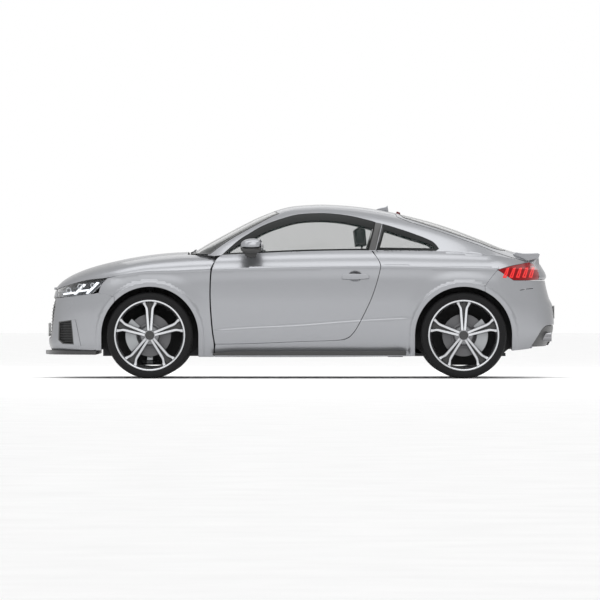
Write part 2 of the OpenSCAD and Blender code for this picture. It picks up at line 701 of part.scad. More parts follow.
module rim(x, side) {
    w = tyre_width / 2;
    r = rim_radius;
    color("gray") at_wheel(x, side) {
        rotate_extrude() polygon([[r - 26, -w + 10], [r, -w + 10], [r, -w + 21.5], [r - 14.3, -w + 21.5],
            [r - 14.3, w - 21.5], [r, w - 21.5], [r, w - 10], [r - 26, w - 10]]);
        difference() {
            union() {
                translate([0, 0, 40]) cylinder(r = 78, h = 46);
                translate([0, 0, 66]) linear_extrude(34) for (k = [0 : 4]) rotate(90 + 72 * k)
                    polygon([[60, -22], [r - 25, -46], [r - 25, 46], [60, 22]]);
            }
            translate([0, 0, 30]) cylinder(r = hub_bore_radius, h = 80);
        }
    }
}
module brake_disc(x, side) {
    color("silver") at_wheel(x, side) rotate_extrude() polygon([[hub_bore_radius, 28], [74, 28], [74, -13],
        [disc_radius, -13], [disc_radius, 13], [84, 13], [84, 39.7], [hub_bore_radius, 39.7]]);
}
module front_knuckle_left() { knuckle(-1); }
module front_knuckle_right() { knuckle(1); }
module tyre_front_left() { tyre(front_axle_x, -1); }
module rim_front_left() { rim(front_axle_x, -1); }
module brake_disc_front_left() { brake_disc(front_axle_x, -1); }
module tyre_front_right() { tyre(front_axle_x, 1); }
module rim_front_right() { rim(front_axle_x, 1); }
module brake_disc_front_right() { brake_disc(front_axle_x, 1); }
module tyre_rear_left() { tyre(rear_axle_x, -1); }
module rim_rear_left() { rim(rear_axle_x, -1); }
module brake_disc_rear_left() { brake_disc(rear_axle_x, -1); }
module tyre_rear_right() { tyre(rear_axle_x, 1); }
module rim_rear_right() { rim(rear_axle_x, 1); }
module brake_disc_rear_right() { brake_disc(rear_axle_x, 1); }

floor_pan();
firewall();
front_subframe();
engine();
rear_axle();
arch_liners();
roof_panel();
body_side_left();
body_side_right();
window_frame_left();
window_frame_right();
front_fenders();
front_bumper();
rear_bumper();
grilles();
front_splitter();
side_skirts();
rear_diffuser();
exhaust();
headlights();
taillights();
windscreen();
quarter_windows();
number_plates();
front_seats();
rear_seat();
dashboard();
steering_wheel();
bonnet();
tailgate();
rear_window();
spoiler();
door_left();
door_window_left();
door_mirror_left();
door_handle_left();
door_right();
door_window_right();
door_mirror_right();
door_handle_right();
front_knuckle_left();
front_knuckle_right();
tyre_front_left();
rim_front_left();
brake_disc_front_left();
tyre_front_right();
rim_front_right();
brake_disc_front_right();
tyre_rear_left();
rim_rear_left();
brake_disc_rear_left();
tyre_rear_right();
rim_rear_right();
brake_disc_rear_right();
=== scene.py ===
"""Two-door fastback coupe: the visual model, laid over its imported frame.

Every body panel is cut from three smooth surfaces: the body sides below the windows, the
bonnet's dome and the glasshouse. Lengths are millimetres until a mesh is made; the front
of the car is -X, its left side is -Y and the ground is Z = 0.
"""
import math

import bmesh
import bpy
import numpy as np
from bpy.props import FloatProperty, FloatVectorProperty, IntProperty, PointerProperty
from mathutils import Matrix, Vector
from mathutils.geometry import delaunay_2d_cdt


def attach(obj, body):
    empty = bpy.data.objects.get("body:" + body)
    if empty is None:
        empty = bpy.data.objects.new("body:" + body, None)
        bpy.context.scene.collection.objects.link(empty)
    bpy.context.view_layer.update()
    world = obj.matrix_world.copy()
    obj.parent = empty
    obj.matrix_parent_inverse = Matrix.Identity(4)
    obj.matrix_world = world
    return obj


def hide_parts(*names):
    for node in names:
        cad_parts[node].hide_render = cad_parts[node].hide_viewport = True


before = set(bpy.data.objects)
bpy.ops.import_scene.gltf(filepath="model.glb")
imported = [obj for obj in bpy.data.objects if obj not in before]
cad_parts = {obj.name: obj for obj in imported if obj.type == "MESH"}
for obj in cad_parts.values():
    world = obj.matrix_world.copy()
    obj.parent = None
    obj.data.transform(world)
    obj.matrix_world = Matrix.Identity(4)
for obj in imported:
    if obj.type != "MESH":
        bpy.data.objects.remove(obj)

bl_info = {
    "name": "Fastback coupe",
    "version": (1, 0, 0),
    "blender": (4, 5, 0),
    "location": "3D View > Sidebar > Coupe",
    "description": "Builds a detailed two-door coupe over its frame",
    "category": "Object",
}

FRONT_AXLE, REAR_AXLE, AXLE_Z = -1190.0, 1300.0, 343.0
WHEEL_Y, TYRE_R, TYRE_W, RIM_R = 784.0, 343.0, 252.0, 281.0
ARCH_R, LIP_R, FLARE_R = 387.0, 425.0, 505.0


# ---------------------------------------------------------------- settings
class CoupeSettings(bpy.types.PropertyGroup):
    """Sizes and colours that shape the whole car"""
    spacing: FloatProperty(name="Mesh spacing", default=0.018, min=0.01, max=0.04, unit="LENGTH",
                           description="Distance between neighbouring points of a body panel")
    skin: FloatProperty(name="Panel thickness", default=0.016, min=0.006, max=0.022, unit="LENGTH",
                        description="Depth of a body panel behind its surface")
    roll: FloatProperty(name="Edge roll", default=0.0022, min=0.001, max=0.003, unit="LENGTH",
                        description="Radius of the turned edges along the shut lines")
    gap: FloatProperty(name="Shut line", default=0.0056, min=0.003, max=0.007, unit="LENGTH",
                       description="Width of the gap between neighbouring panels")
    paint: FloatVectorProperty(name="Paint", subtype="COLOR", size=3, default=(0.31, 0.316, 0.332), min=0, max=1,
                               description="Colour of the metallic paint")
    glass: FloatVectorProperty(name="Glass", subtype="COLOR", size=3, default=(0.02, 0.034, 0.031), min=0, max=1,
                               description="Tint of the window glass")
    rubber: FloatVectorProperty(name="Rubber", subtype="COLOR", size=3, default=(0.009, 0.009, 0.0095), min=0, max=1,
                                description="Colour of the tyres and seals")
    leather: FloatVectorProperty(name="Leather", subtype="COLOR", size=3, default=(0.022, 0.022, 0.024), min=0,
                                 max=1, description="Colour of the seats")
    tread_blocks: IntProperty(name="Tread blocks", default=72, min=40, max=120,
                              description="Blocks round the tyre's tread")
    camera_distance: FloatProperty(name="Camera distance", default=60.0, min=10, max=80, unit="LENGTH",
                                   description="Distance from the camera to the side of the car")


def settings():
    return bpy.context.scene.coupe


# ---------------------------------------------------------------- body lines
def curve(knots, x):
    """Smooth curve through [position, value] knots"""
    knots = np.array(knots, float)
    xs, ys = knots[:, 0], knots[:, 1]
    slope = np.gradient(ys, xs)
    slope[1:-1] = (ys[2:] - ys[:-2]) / (xs[2:] - xs[:-2])
    x = np.clip(np.asarray(x, float), xs[0], xs[-1])
    i = np.clip(np.searchsorted(xs, x) - 1, 0, len(xs) - 2)
    w = xs[i + 1] - xs[i]
    t = (x - xs[i]) / w
    return (ys[i] * (1 + 2 * t) * (1 - t) ** 2 + ys[i + 1] * t * t * (3 - 2 * t)
            + w * t * (1 - t) * (slope[i] * (1 - t) - slope[i + 1] * t))


def nose_x(z):
    return curve([(150, -1940), (211, -1984), (279, -2012), (400, -2005), (543, -1998), (639, -1974),
                  (707, -1954), (800, -1880)], z)


def tail_x(z):
    return curve([(170, 1920), (259, 1986), (359, 2034), (455, 2040), (583, 2026), (639, 2000), (775, 1968),
                  (815, 1978), (900, 1934), (943, 1900), (1000, 1870)], z)


def sill_z(x):
    return curve([(-2010, 214), (-1850, 186), (-1570, 176), (800, 177), (1690, 222), (2000, 262)], x)


def shoulder_z(x):
    return curve([(-1950, 707), (-1838, 743), (-1678, 783), (-1534, 799), (-1358, 831), (-1222, 849),
                  (-1000, 854), (-694, 867), (2, 885), (642, 891), (1282, 880), (1562, 872), (1950, 862)], x)


def belt_z(x):
    return curve([(-1960, 722), (-1534, 830), (-1000, 905), (-800, 955), (-614, 979), (-318, 993), (2, 1007),
                  (402, 1015), (1058, 1011), (1300, 1000), (1500, 982), (1700, 950), (1900, 900)], x)


def bonnet_z(x):
    return curve([(-1956, 722), (-1902, 775), (-1806, 832), (-1662, 887), (-1470, 936), (-1278, 973),
                  (-1086, 997), (-900, 1009), (-690, 1012)], x)


def roof_z(x):
    return curve([(-1000, 925), (-870, 995), (-718, 1087), (-398, 1257), (-238, 1326), (-78, 1371), (82, 1386),
                  (210, 1389), (482, 1369), (802, 1314), (1122, 1230), (1442, 1112), (1602, 1046), (1682, 1017),
                  (1762, 997), (1850, 990), (1930, 986)], x)


def side_width(x):
    return curve([(-1950, 880), (-1500, 890), (-600, 889), (0, 887), (700, 890), (1300, 896), (1700, 882),
                  (2046, 850)], x)


def crease_z(x):
    return curve([(-700, 383), (-398, 403), (2, 423), (402, 455), (700, 472), (950, 484)], x)


def ease(t):
    t = np.clip(t, 0, 1)
    return t * t * (3 - 2 * t)


def corner(d, length):
    """Rounding in plan: 0 at the end of the car, 1 where the side runs straight"""
    t = np.clip(d / length, 0, 1)
    return (1 - (1 - t) ** 2.2) ** 0.3125


def flare_at(x, z, axle):
    r = np.hypot(x - axle, np.maximum(z - AXLE_Z, 0))
    lip = 22 - 7 * ease((LIP_R - r) / 36)
    out = 22 * (1 - 0.72 * ease((r - LIP_R) / 3.5)) * (1 - ease((r - LIP_R) / (FLARE_R - LIP_R + 30)))
    return np.where(r < LIP_R, lip, out)


def side_y(x, z):
    """Half width of the body at x and z, up to the window line"""
    s, b = shoulder_z(x), belt_z(x)
    low = np.maximum(750 - z, 0) ** 2 / 3444
    high = (np.maximum(np.minimum(z, s) - 750, 0)) ** 2 / 2500
    above = 62 * (1 - (1 - np.clip((z - s) / (b - s), 0, 1)) ** 2)
    under = 7.0 * ease((s - z) / 14) * (1 - ease((s - z - 14) / 110)) * ease((x + 1550) / 250)
    along = ease((x + 760) / 160) * (1 - ease((x - 800) / 160))
    fold = along * 9.0 * (ease((crease_z(x) + 9 - z) / 18) - 1) * ease((640 - z) / 200)
    flare = flare_at(x, z, FRONT_AXLE) + flare_at(x, z, REAR_AXLE)
    fade = corner(x - nose_x(z), 560) * corner(tail_x(z) - x, 420)
    return np.maximum(fade * (side_width(x) - low - high - above - under + fold + flare), 0)


# ---------------------------------------------------------------- surfaces
class Sides:
    """Body below the window line, unrolled to (distance round the car, height)"""
    steps = (1 - np.cos(np.linspace(0, math.pi, 481))) / 2

    def __init__(self):
        self.levels = np.arange(110.0, 1060.0, 8.0)
        rows = []
        for z in self.levels:
            x = nose_x(z) + self.steps * (tail_x(z) - nose_x(z))
            y = side_y(x, z)
            y[0] = y[-1] = 0
            rows.append(np.concatenate([[0], np.cumsum(np.hypot(np.diff(x), np.diff(y)))]))
        self.length = np.array(rows)
        self.middle = np.array([np.interp(-nose_x(z) / (tail_x(z) - nose_x(z)), self.steps, r)
                                for z, r in zip(self.levels, rows)])

    def _rows(self, z):
        f = np.clip((z - self.levels[0]) / 8.0, 0, len(self.levels) - 1.001)
        i = f.astype(int)
        f = (f - i)[:, None]
        return self.length[i] * (1 - f) + self.length[i + 1] * f

    def _zero(self, z, rows, origin):
        if origin == "nose":
            return 0 * z
        return rows[:, -1] if origin == "tail" else np.interp(z, self.levels, self.middle)

    def unroll(self, x, z, origin):
        nose, tail = nose_x(z), tail_x(z)
        u = np.clip((x - nose) / (tail - nose), 0, 1)
        rows = self._rows(z)
        s = np.array([np.interp(a, self.steps, r) for a, r in zip(u, rows)])
        return np.stack([s - self._zero(z, rows, origin), z], 1)

    def place(self, p, origin):
        z = p[:, 1]
        rows = self._rows(z)
        s = p[:, 0] + self._zero(z, rows, origin)
        u = np.array([np.interp(a, r, self.steps) for a, r in zip(s, rows)])
        nose, tail = nose_x(z), tail_x(z)
        x = nose + u * (tail - nose)
        y = side_y(x, z)
        left = np.maximum(rows[:, -1] - s, 0)
        y = np.where(s < rows[:, 1], np.maximum(s, 0), y)
        y = np.where(left < rows[:, -1] - rows[:, -2], left, y)
        return np.stack([x, -y, z], 1)

    def from_end(self, y, z, end):
        """x where the surface is y from the centre line, near the nose or the tail"""
        out = []
        for a, b in zip(np.abs(y), z):
            u = self.steps[:200] if end == "nose" else 1 - self.steps[:200]
            x = nose_x(b) + u * (tail_x(b) - nose_x(b))
            w = np.maximum.accumulate(side_y(x, np.full_like(x, b)))
            out.append(np.interp(a, w, x))
        return np.array(out)


class Crown:
    """A surface of cross sections, unrolled to (x, distance from the centre line)"""
    steps = 1 - np.linspace(1, 0, 121) ** 3

    def __init__(self, kind):
        self.kind = kind
        self.stations = np.arange(-1956.0, -590.0, 6.0) if kind == "bonnet" else np.arange(-996.0, 1936.0, 6.0)
        rows = []
        for x in self.stations:
            y, z = self.section(x, self.steps)
            run = np.hypot(np.diff(y), np.diff(z))
            rows.append(np.concatenate([[0], np.cumsum(run[::-1])])[::-1])
        self.length = np.array(rows)

    def base(self, x):
        return shoulder_z(x) if self.kind == "bonnet" else belt_z(x)

    def top(self, x):
        return bonnet_z(x) if self.kind == "bonnet" else roof_z(x)

    def section(self, x, h):
        b, t = self.base(x), self.top(x)
        w = side_y(x, b)
        if self.kind == "bonnet":
            n = 3 + np.minimum((x + 700) / 1500, 0)
            y = w * (1 - 0.05 * h) * np.maximum(1 - h ** n, 0) ** (0.9 / n)
        else:
            y = w * (1 - 0.3 * h) * np.maximum(1 - h ** 5, 0) ** 0.28
        return y, b + h * (t - b)

    def _rows(self, x):
        f = np.clip((x - self.stations[0]) / 6.0, 0, len(self.stations) - 1.001)
        i = f.astype(int)
        f = (f - i)[:, None]
        return self.length[i] * (1 - f) + self.length[i + 1] * f

    def unroll(self, x, z, origin):
        b, t = self.base(x), self.top(x)
        h = np.clip((z - b) / np.maximum(t - b, 1e-6), 0, 1)
        s = np.array([np.interp(a, self.steps, r) for a, r in zip(h, self._rows(x))])
        return np.stack([x, -s], 1)

    def place(self, p, origin):
        x = p[:, 0]
        h = np.array([np.interp(a, r[::-1], self.steps[::-1]) for a, r in zip(-p[:, 1], self._rows(x))])
        y, z = self.section(x, h)
        y = np.where(h > 1 - 1e-9, 0, y)
        return np.stack([x, -y, z], 1)


SURFACES = {"side": Sides(), "bonnet": Crown("bonnet"), "house": Crown("house")}


# ---------------------------------------------------------------- outlines, in side view
def smooth(points, step=9.0, sharp=32):
    """Closed outline: a curve through the points that keeps its sharp corners"""
    p = np.array(points, float)
    n = len(p)
    before, after = p - np.roll(p, 1, 0), np.roll(p, -1, 0) - p
    turn = np.abs((np.arctan2(after[:, 1], after[:, 0]) - np.arctan2(before[:, 1], before[:, 0]) + math.pi)
                  % (2 * math.pi) - math.pi)
    hard = turn > math.radians(sharp)
    chord = np.roll(p, -1, 0) - np.roll(p, 1, 0)
    out = []
    for i in range(n):
        j = (i + 1) % n
        d = p[j] - p[i]
        w = np.hypot(*d)
        a = d if hard[i] else chord[i] / max(np.hypot(*chord[i]), 1e-9) * w
        b = d if hard[j] else chord[j] / max(np.hypot(*chord[j]), 1e-9) * w
        k = max(int(w / step), 1)
        for t in np.arange(k) / k:
            out.append(p[i] * (1 + 2 * t) * (1 - t) ** 2 + p[j] * t * t * (3 - 2 * t)
                       + t * (1 - t) * (a * (1 - t) - b * t))
    return np.array(out)


def shift(loop, by):
    """Moves a closed outline outwards by a distance, inwards if negative"""
    p = np.array(loop, float)
    area = np.sum(p[:, 0] * np.roll(p[:, 1], -1) - np.roll(p[:, 0], -1) * p[:, 1])
    d = np.roll(p, -1, 0) - p
    d /= np.maximum(np.hypot(d[:, 0], d[:, 1]), 1e-9)[:, None]
    normal = np.stack([d[:, 1], -d[:, 0]], 1) * (1 if area > 0 else -1)
    m = normal + np.roll(normal, 1, 0)
    k = np.maximum(np.sum(m * m, 1), 0.6) / 2
    return p + m / k[:, None] * by


def circle(x, z, r, n=180):
    t = np.linspace(0, 2 * math.pi, n, endpoint=False)
    return np.stack([x + r * np.cos(t), z + r * np.sin(t)], 1)


def arch(axle, r):
    """Wheel opening: a round top over straight legs"""
    t = np.linspace(0, math.pi, 120)
    legs = np.array([[-r, z] for z in np.linspace(AXLE_Z, 60, 24)] + [[r, z] for z in np.linspace(60, AXLE_Z, 24)])
    legs[:, 0] += axle
    return np.concatenate([np.stack([axle + r * np.cos(t), AXLE_Z + r * np.sin(t)], 1), legs])


WINDOW = [(-614, 983), (-558, 1035), (-478, 1103), (-398, 1155), (-318, 1203), (-238, 1239), (-158, 1267),
          (-78, 1291), (2, 1307), (122, 1315), (242, 1313), (402, 1293), (562, 1255), (722, 1211), (882, 1159),
          (1042, 1095), (1082, 1063), (1104, 1031), (1074, 1010)]
DOOR_WINDOW = [p for p in WINDOW if p[0] < 600] + [(600, 1243), (546, 1016), (402, 1016), (2, 1008), (-318, 994)]
PILLAR = [(551, 1019), (605, 1241), (630, 1236), (653, 1230), (601, 1019)]
QUARTER_WINDOW = [(606, 1017), (658, 1229)] + [p for p in WINDOW if p[0] > 700] + [(840, 1014)]
DOOR = [(-622, 979), (-662, 943), (-684, 903), (-694, 863), (-702, 783), (-704, 623), (-694, 463), (-684, 360),
        (-670, 274), (-398, 279), (2, 295), (242, 303), (338, 311), (378, 325), (402, 341), (442, 391), (482, 463),
        (522, 543), (562, 631), (594, 719), (618, 799), (634, 863), (638, 897), (618, 947), (594, 979), (566, 1014),
        (402, 1015), (2, 1007), (-318, 993)]
WINDSCREEN = [(-876, 992), (-712, 988), (-638, 1047), (-558, 1103), (-478, 1151), (-318, 1239), (-230, 1286),
              (-166, 1315), (-190, 1332), (-214, 1350), (-214, 1400), (-885, 1400)]
ROOF = [(-166, 1315), (-190, 1332), (-214, 1350), (-214, 1420), (762, 1420), (762, 1322), (748, 1298), (560, 1332),
        (400, 1348), (240, 1358), (0, 1350)]
TAILGATE = [(762, 1420), (762, 1322), (776, 1288), (874, 1247), (962, 1219), (1122, 1167), (1282, 1111),
            (1442, 1053), (1522, 1019), (1590, 992), (1700, 957), (1790, 936), (1838, 924), (1846, 870), (2100, 866), (2100, 1420)]
REAR_GLASS = [(790, 1400), (798, 1306), (830, 1282), (880, 1266), (962, 1239), (1122, 1187), (1282, 1131),
              (1442, 1075), (1522, 1042), (1602, 1019), (1640, 1019), (1640, 1400)]
TAIL_LAMP = [(1570, 863), (1682, 895), (1762, 911), (1834, 927), (1876, 898), (1905, 850), (1905, 783),
             (1842, 779), (1698, 779), (1642, 815)]
HEAD_LAMP = [(-1934, 641), (-1838, 649), (-1758, 659), (-1670, 671), (-1646, 679), (-1614, 707), (-1574, 743),
             (-1526, 799), (-1602, 792), (-1678, 783), (-1760, 764), (-1838, 743), (-1902, 722), (-1938, 708)]
SHOULDER = [(x, float(shoulder_z(x))) for x in (-1938, -1902, -1838, -1760, -1678, -1600, -1534, -1440, -1358,
                                                 -1222, -1100, -1000, -850, -710)]
BONNET = [(-1975, 700)] + SHOULDER + [(-690, 905), (-668, 944), (-646, 962), (-716, 978), (-890, 986),
                                      (-890, 1200), (-1975, 1200)]
FENDER = [(-1598, 679), (-1574, 743), (-1526, 797)] + [p for p in SHOULDER if p[0] > -1526] + [
    (-707, 867), (-713, 783), (-715, 623), (-705, 463), (-695, 360), (-682, 272), (-682, 100), (-1470, 100),
    (-1470, 647)]
FRONT_BUMPER = [(-2100, 222), (-2100, 640), (-1940, 640), (-1670, 670), (-1640, 672), (-1598, 679), (-1470, 647),
                (-1470, 222)]
REAR_BUMPER = [(1570, 863), (1506, 783), (1470, 735), (1470, 100), (1820, 226), (1838, 247), (1893, 330),
               (1934, 394), (1974, 420), (2200, 428), (2200, 779), (1842, 779), (1698, 779), (1642, 815)]
SILL = [(-681, 100), (-668, 268), (-398, 273), (2, 289), (242, 297), (345, 304), (386, 319), (410, 337), (450, 389),
        (490, 461), (530, 541), (570, 629), (602, 718), (626, 798), (642, 863), (646, 900), (624, 950),
        (600, 984), (574, 1040), (574, 1100), (1560, 1100), (1850, 1100), (1850, 100)]


# ---------------------------------------------------------------- mesh building
def inside(points, loop):
    """Even-odd test of many points against one closed loop"""
    x, y = points[:, 0][:, None], points[:, 1][:, None]
    a, b = loop, np.roll(loop, -1, 0)
    ya, yb = a[:, 1][None], b[:, 1][None]
    hit = (ya > y) != (yb > y)
    with np.errstate(divide="ignore", invalid="ignore"):
        cross = (b[:, 0] - a[:, 0])[None] * (y - ya) / (yb - ya) + a[:, 0][None]
    return (np.sum(hit & (x < cross), 1) % 2) == 1


def near(points, loops, limit):
    """Marks points that lie closer than a limit to any loop's edges"""
    close = np.zeros(len(points), bool)
    for loop in loops:
        a, b = loop, np.roll(loop, -1, 0)
        d = b - a
        l2 = np.maximum(np.sum(d * d, 1), 1e-9)
        for k in range(0, len(points), 2000):
            p = points[k:k + 2000]
            t = np.clip(((p[:, None] - a[None]) * d[None]).sum(2) / l2, 0, 1)
            q = a[None] + d[None] * t[..., None] - p[:, None]
            close[k:k + 2000] |= (q * q).sum(2).min(1) < limit * limit
    return close


def features():
    """Lines along which the body side bends: the shoulder, the door crease and the wheel lips"""
    x = np.arange(-1940, 1960, 14.0)
    low = np.arange(-756, 960, 14.0)
    lines = [np.stack([x, shoulder_z(x) - d], 1) for d in (0, 5, 10, 15)]
    lines += [np.stack([low, crease_z(low) + d], 1) for d in (-9, 0, 9)]
    for axle in (FRONT_AXLE, REAR_AXLE):
        lines += [circle(axle, AXLE_Z, r, 220)[:111] for r in (LIP_R, LIP_R + 3.5)]
    return lines


def sheet(surface, add, cut=(), origin="mid", spacing=None):
    """Points and triangles of one surface inside the loops of add and outside those of cut"""
    s = SURFACES[surface]
    spacing = spacing or settings().spacing * 1000
    flat = [s.unroll(l[:, 0], l[:, 1], origin) for l in list(add) + list(cut)]
    for i, loop in enumerate(flat):
        keep = np.hypot(*(loop - np.roll(loop, 1, 0)).T) > 0.6
        flat[i] = loop[keep]
    plus, minus = flat[:len(add)], flat[len(add):]

    def kept(p):
        ok = np.zeros(len(p), bool)
        for loop in plus:
            ok |= inside(p, loop)
        for loop in minus:
            ok &= ~inside(p, loop)
        return ok

    lo = np.min([l.min(0) for l in plus], 0)
    hi = np.max([l.max(0) for l in plus], 0)
    rows = int((hi[1] - lo[1]) / (spacing * 0.866)) + 2
    cols = int((hi[0] - lo[0]) / spacing) + 2
    gx, gy = np.meshgrid(np.arange(cols), np.arange(rows))
    grid = np.stack([lo[0] + (gx + 0.5 * (gy % 2)) * spacing, lo[1] + gy * spacing * 0.866], -1).reshape(-1, 2)
    grid = grid[kept(grid)]
    bends = [s.unroll(l[:, 0], l[:, 1], origin) for l in features()] if surface == "side" else []
    bends = [l[kept(l) & ~near(l, flat, 3)] for l in bends]
    bends = [l for l in bends if len(l) > 1]
    grid = grid[~near(grid, flat, spacing * 0.55)]
    grid = grid[~near(grid, [np.concatenate([l, l[::-1]]) for l in bends], spacing * 0.35)]
    points, edges = [Vector(p) for p in grid], []
    for line in bends:
        k = len(points)
        points += [Vector(p) for p in line]
        edges += [(k + i, k + i + 1) for i in range(len(line) - 1) if np.hypot(*(line[i + 1] - line[i])) < 40]
    for loop in flat:
        k = len(points)
        points += [Vector(p) for p in loop]
        edges += [(k + i, k + (i + 1) % len(loop)) for i in range(len(loop))]
    out = delaunay_2d_cdt(points, edges, [], 0, 1e-4)
    flat_points = np.array([tuple(v) for v in out[0]])
    tris = np.array([f for f in out[2] if len(f) == 3])
    middle = flat_points[tris].mean(1)
    a, b, c = (flat_points[tris[:, i]] for i in range(3))
    size = np.abs((b[:, 0] - a[:, 0]) * (c[:, 1] - a[:, 1]) - (c[:, 0] - a[:, 0]) * (b[:, 1] - a[:, 1]))
    tris = tris[kept(middle) & (size > 1e-3)]
    return s.place(flat_points, origin), tris


def join_sheets(sheets, both_halves):
    """Welds sheets, and their mirror image when the panel crosses the centre line"""
    bm = bmesh.new()
    for points, tris in sheets:
        for side in ((1, -1) if both_halves else (1,)):
            vs = [bm.verts.new((p[0], p[1] * side, p[2])) for p in points]
            for t in tris:
                f = [vs[i] for i in (t if side == 1 else t[::-1])]
                bm.faces.new(f)
    bmesh.ops.delete(bm, geom=[v for v in bm.verts if not v.link_faces], context="VERTS")
    bmesh.ops.remove_doubles(bm, verts=bm.verts, dist=0.8)
    bmesh.ops.recalc_face_normals(bm, faces=bm.faces)
    bm.normal_update()
    out = sum(f.calc_area() * (f.normal.y * f.calc_center_median().y + f.normal.z * (f.calc_center_median().z - 500)
              + 0.2 * f.normal.x * f.calc_center_median().x) for f in bm.faces)
    if out < 0:
        bmesh.ops.reverse_faces(bm, faces=bm.faces)
        bm.normal_update()
    bm.verts.index_update()
    points = np.array([tuple(v.co) for v in bm.verts])
    normals = np.array([tuple(v.normal) for v in bm.verts])
    tris = np.array([[v.index for v in f.verts] for f in bm.faces])
    bm.free()
    return points, normals, tris


def mesh_object(name, points, faces, material, normals=None, smooth_all=True, slots=None):
    """A mesh object in metres from points in millimetres"""
    mesh = bpy.data.meshes.new(name)
    mesh.from_pydata([tuple(p) for p in np.asarray(points) / 1000], [], [tuple(int(i) for i in f) for f in faces])
    for m in (material if isinstance(material, (list, tuple)) else [material]):
        mesh.materials.append(m)
    if slots is not None:
        mesh.polygons.foreach_set("material_index", slots)
    if smooth_all:
        mesh.polygons.foreach_set("use_smooth", [True] * len(mesh.polygons))
    mesh.update()
    if normals is not None:
        mesh.normals_split_custom_set_from_vertices([tuple(n) for n in normals])
    obj = bpy.data.objects.new(name, mesh)
    bpy.context.scene.collection.objects.link(obj)
    return obj


def thicken(points, normals, tris, depth, roll, sink=0.0):
    """Closes a sheet into a panel with rolled edges. sink moves it in along its normals."""
    points = points - normals * sink
    n = len(points)
    seen = {}
    for t in tris:
        for i in range(3):
            seen[(t[i], t[(i + 1) % 3])] = True
    rim = [(a, b) for a, b in seen if (b, a) not in seen]
    out = np.zeros((n, 3))
    for a, b in rim:
        d = points[b] - points[a]
        w = np.linalg.norm(d)
        if w < 1e-6:
            continue
        o = np.cross(d / w, normals[a] + normals[b])
        o /= max(np.linalg.norm(o), 1e-9)
        out[a] += o
        out[b] += o
    edge = np.array(sorted({i for e in rim for i in e}), int)
    length = np.linalg.norm(out[edge], axis=1)
    out[edge] /= np.maximum(length, 1e-9)[:, None]
    index = {int(v): i for i, v in enumerate(edge)}
    e_p, e_n, e_o = points[edge], normals[edge], out[edge]
    rings = [(e_p + e_o * roll * 0.71 - e_n * roll * 0.29, e_o * 0.71 + e_n * 0.71),
             (e_p + e_o * roll - e_n * roll, e_o), (e_p + e_o * roll - e_n * depth * 0.98, e_o)]
    back = points - normals * depth
    back[edge] += e_o * roll
    all_points = [points, back] + [r[0] for r in rings]
    all_normals = [normals, -normals] + [r[1] for r in rings]
    faces = [tuple(t) for t in tris] + [tuple(n + i for i in t[::-1]) for t in tris]
    base = [2 * n + k * len(edge) for k in range(3)]
    for a, b in rim:
        ia, ib = index[int(a)], index[int(b)]
        chain_a = [a] + [k + ia for k in base] + [n + a]
        chain_b = [b] + [k + ib for k in base] + [n + b]
        for k in range(4):
            faces.append((chain_b[k], chain_a[k], chain_a[k + 1], chain_b[k + 1]))
    return np.concatenate(all_points), faces, np.concatenate(all_normals)


def panel(name, sheets, material, centre=False, depth=None, roll=None, sink=0.0):
    """A finished panel object made of one or more welded sheets. Painted ones get dark cabin plastic on their backs and
    on the deep half of their turned edges, as painted shade inside the shut lines.
    """
    s = settings()
    points, normals, tris = join_sheets(sheets, centre)
    points, faces, normals = thicken(points, normals, tris, depth or s.skin * 1000, roll or s.roll * 1000, sink)
    slots = None
    # Painted shade: the back face and the deep half of the rolled edge take the dark cabin plastic, so the shut lines
    # read dark.
    if material == paint():
        material = [paint(), cabin()]
        rim = (len(faces) - 2 * len(tris)) // 4
        slots = [0] * len(tris) + [1] * len(tris) + [0, 0, 1, 1] * rim
    return mesh_object(name, points, faces, material, normals, slots=slots)


def flip(obj):
    """Mirrors an object's mesh across the car's centre line"""
    me = obj.data
    normals = [tuple(c.vector) for c in me.corner_normals]
    loops = [list(p.loop_indices) for p in me.polygons]
    n = len(me.vertices)
    co = np.zeros(n * 3)
    me.vertices.foreach_get("co", co)
    co = co.reshape(-1, 3) * (1, -1, 1)
    faces = [[me.loops[i].vertex_index for i in l][::-1] for l in loops]
    keep = [p.material_index for p in me.polygons]
    new = bpy.data.meshes.new(me.name + ".r")
    new.from_pydata([tuple(c) for c in co], [], faces)
    for m in me.materials:
        new.materials.append(m)
    new.polygons.foreach_set("material_index", keep)
    new.polygons.foreach_set("use_smooth", [True] * len(faces))
    new.update()
    flat = []
    for l in loops:
        flat += [(normals[i][0], -normals[i][1], normals[i][2]) for i in l[::-1]]
    new.normals_split_custom_set(flat)
    obj.data = new
    bpy.data.meshes.remove(me)


def pair(name, make, bodies, nodes=()):
    """Makes a piece for the left and its mirror image for the right"""
    made = []
    for i, side in enumerate(("left", "right")):
        objs = make("%s_%s" % (name, side))
        for o in (objs if isinstance(objs, (list, tuple)) else [objs]):
            if i:
                flip(o)
            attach(o, bodies[i] if isinstance(bodies, (list, tuple)) else bodies)
            made.append(o)
    if nodes:
        for n in nodes:
            if n.endswith("_right"):
                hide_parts(n)
            else:
                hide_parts(n)
    return made


def lathe(name, profile, n, material, slots=None, wave=None):
    """Turns a profile of (radius, along) about Z; wave may move points by angle"""
    profile = np.array(profile, float)
    k = len(profile)
    t = np.linspace(0, 2 * math.pi, n, endpoint=False)
    r = np.repeat(profile[None, :, 0], n, 0)
    z = np.repeat(profile[None, :, 1], n, 0)
    if wave is not None:
        r = r + wave(t[:, None], z, r)
    points = np.stack([r * np.cos(t)[:, None], r * np.sin(t)[:, None], z], -1).reshape(-1, 3)
    faces, index = [], []
    for i in range(n):
        j = (i + 1) % n
        for a in range(k):
            b = (a + 1) % k
            faces.append((i * k + a, j * k + a, j * k + b, i * k + b))
            index.append(slots[a] if slots else 0)
    return points, faces, index


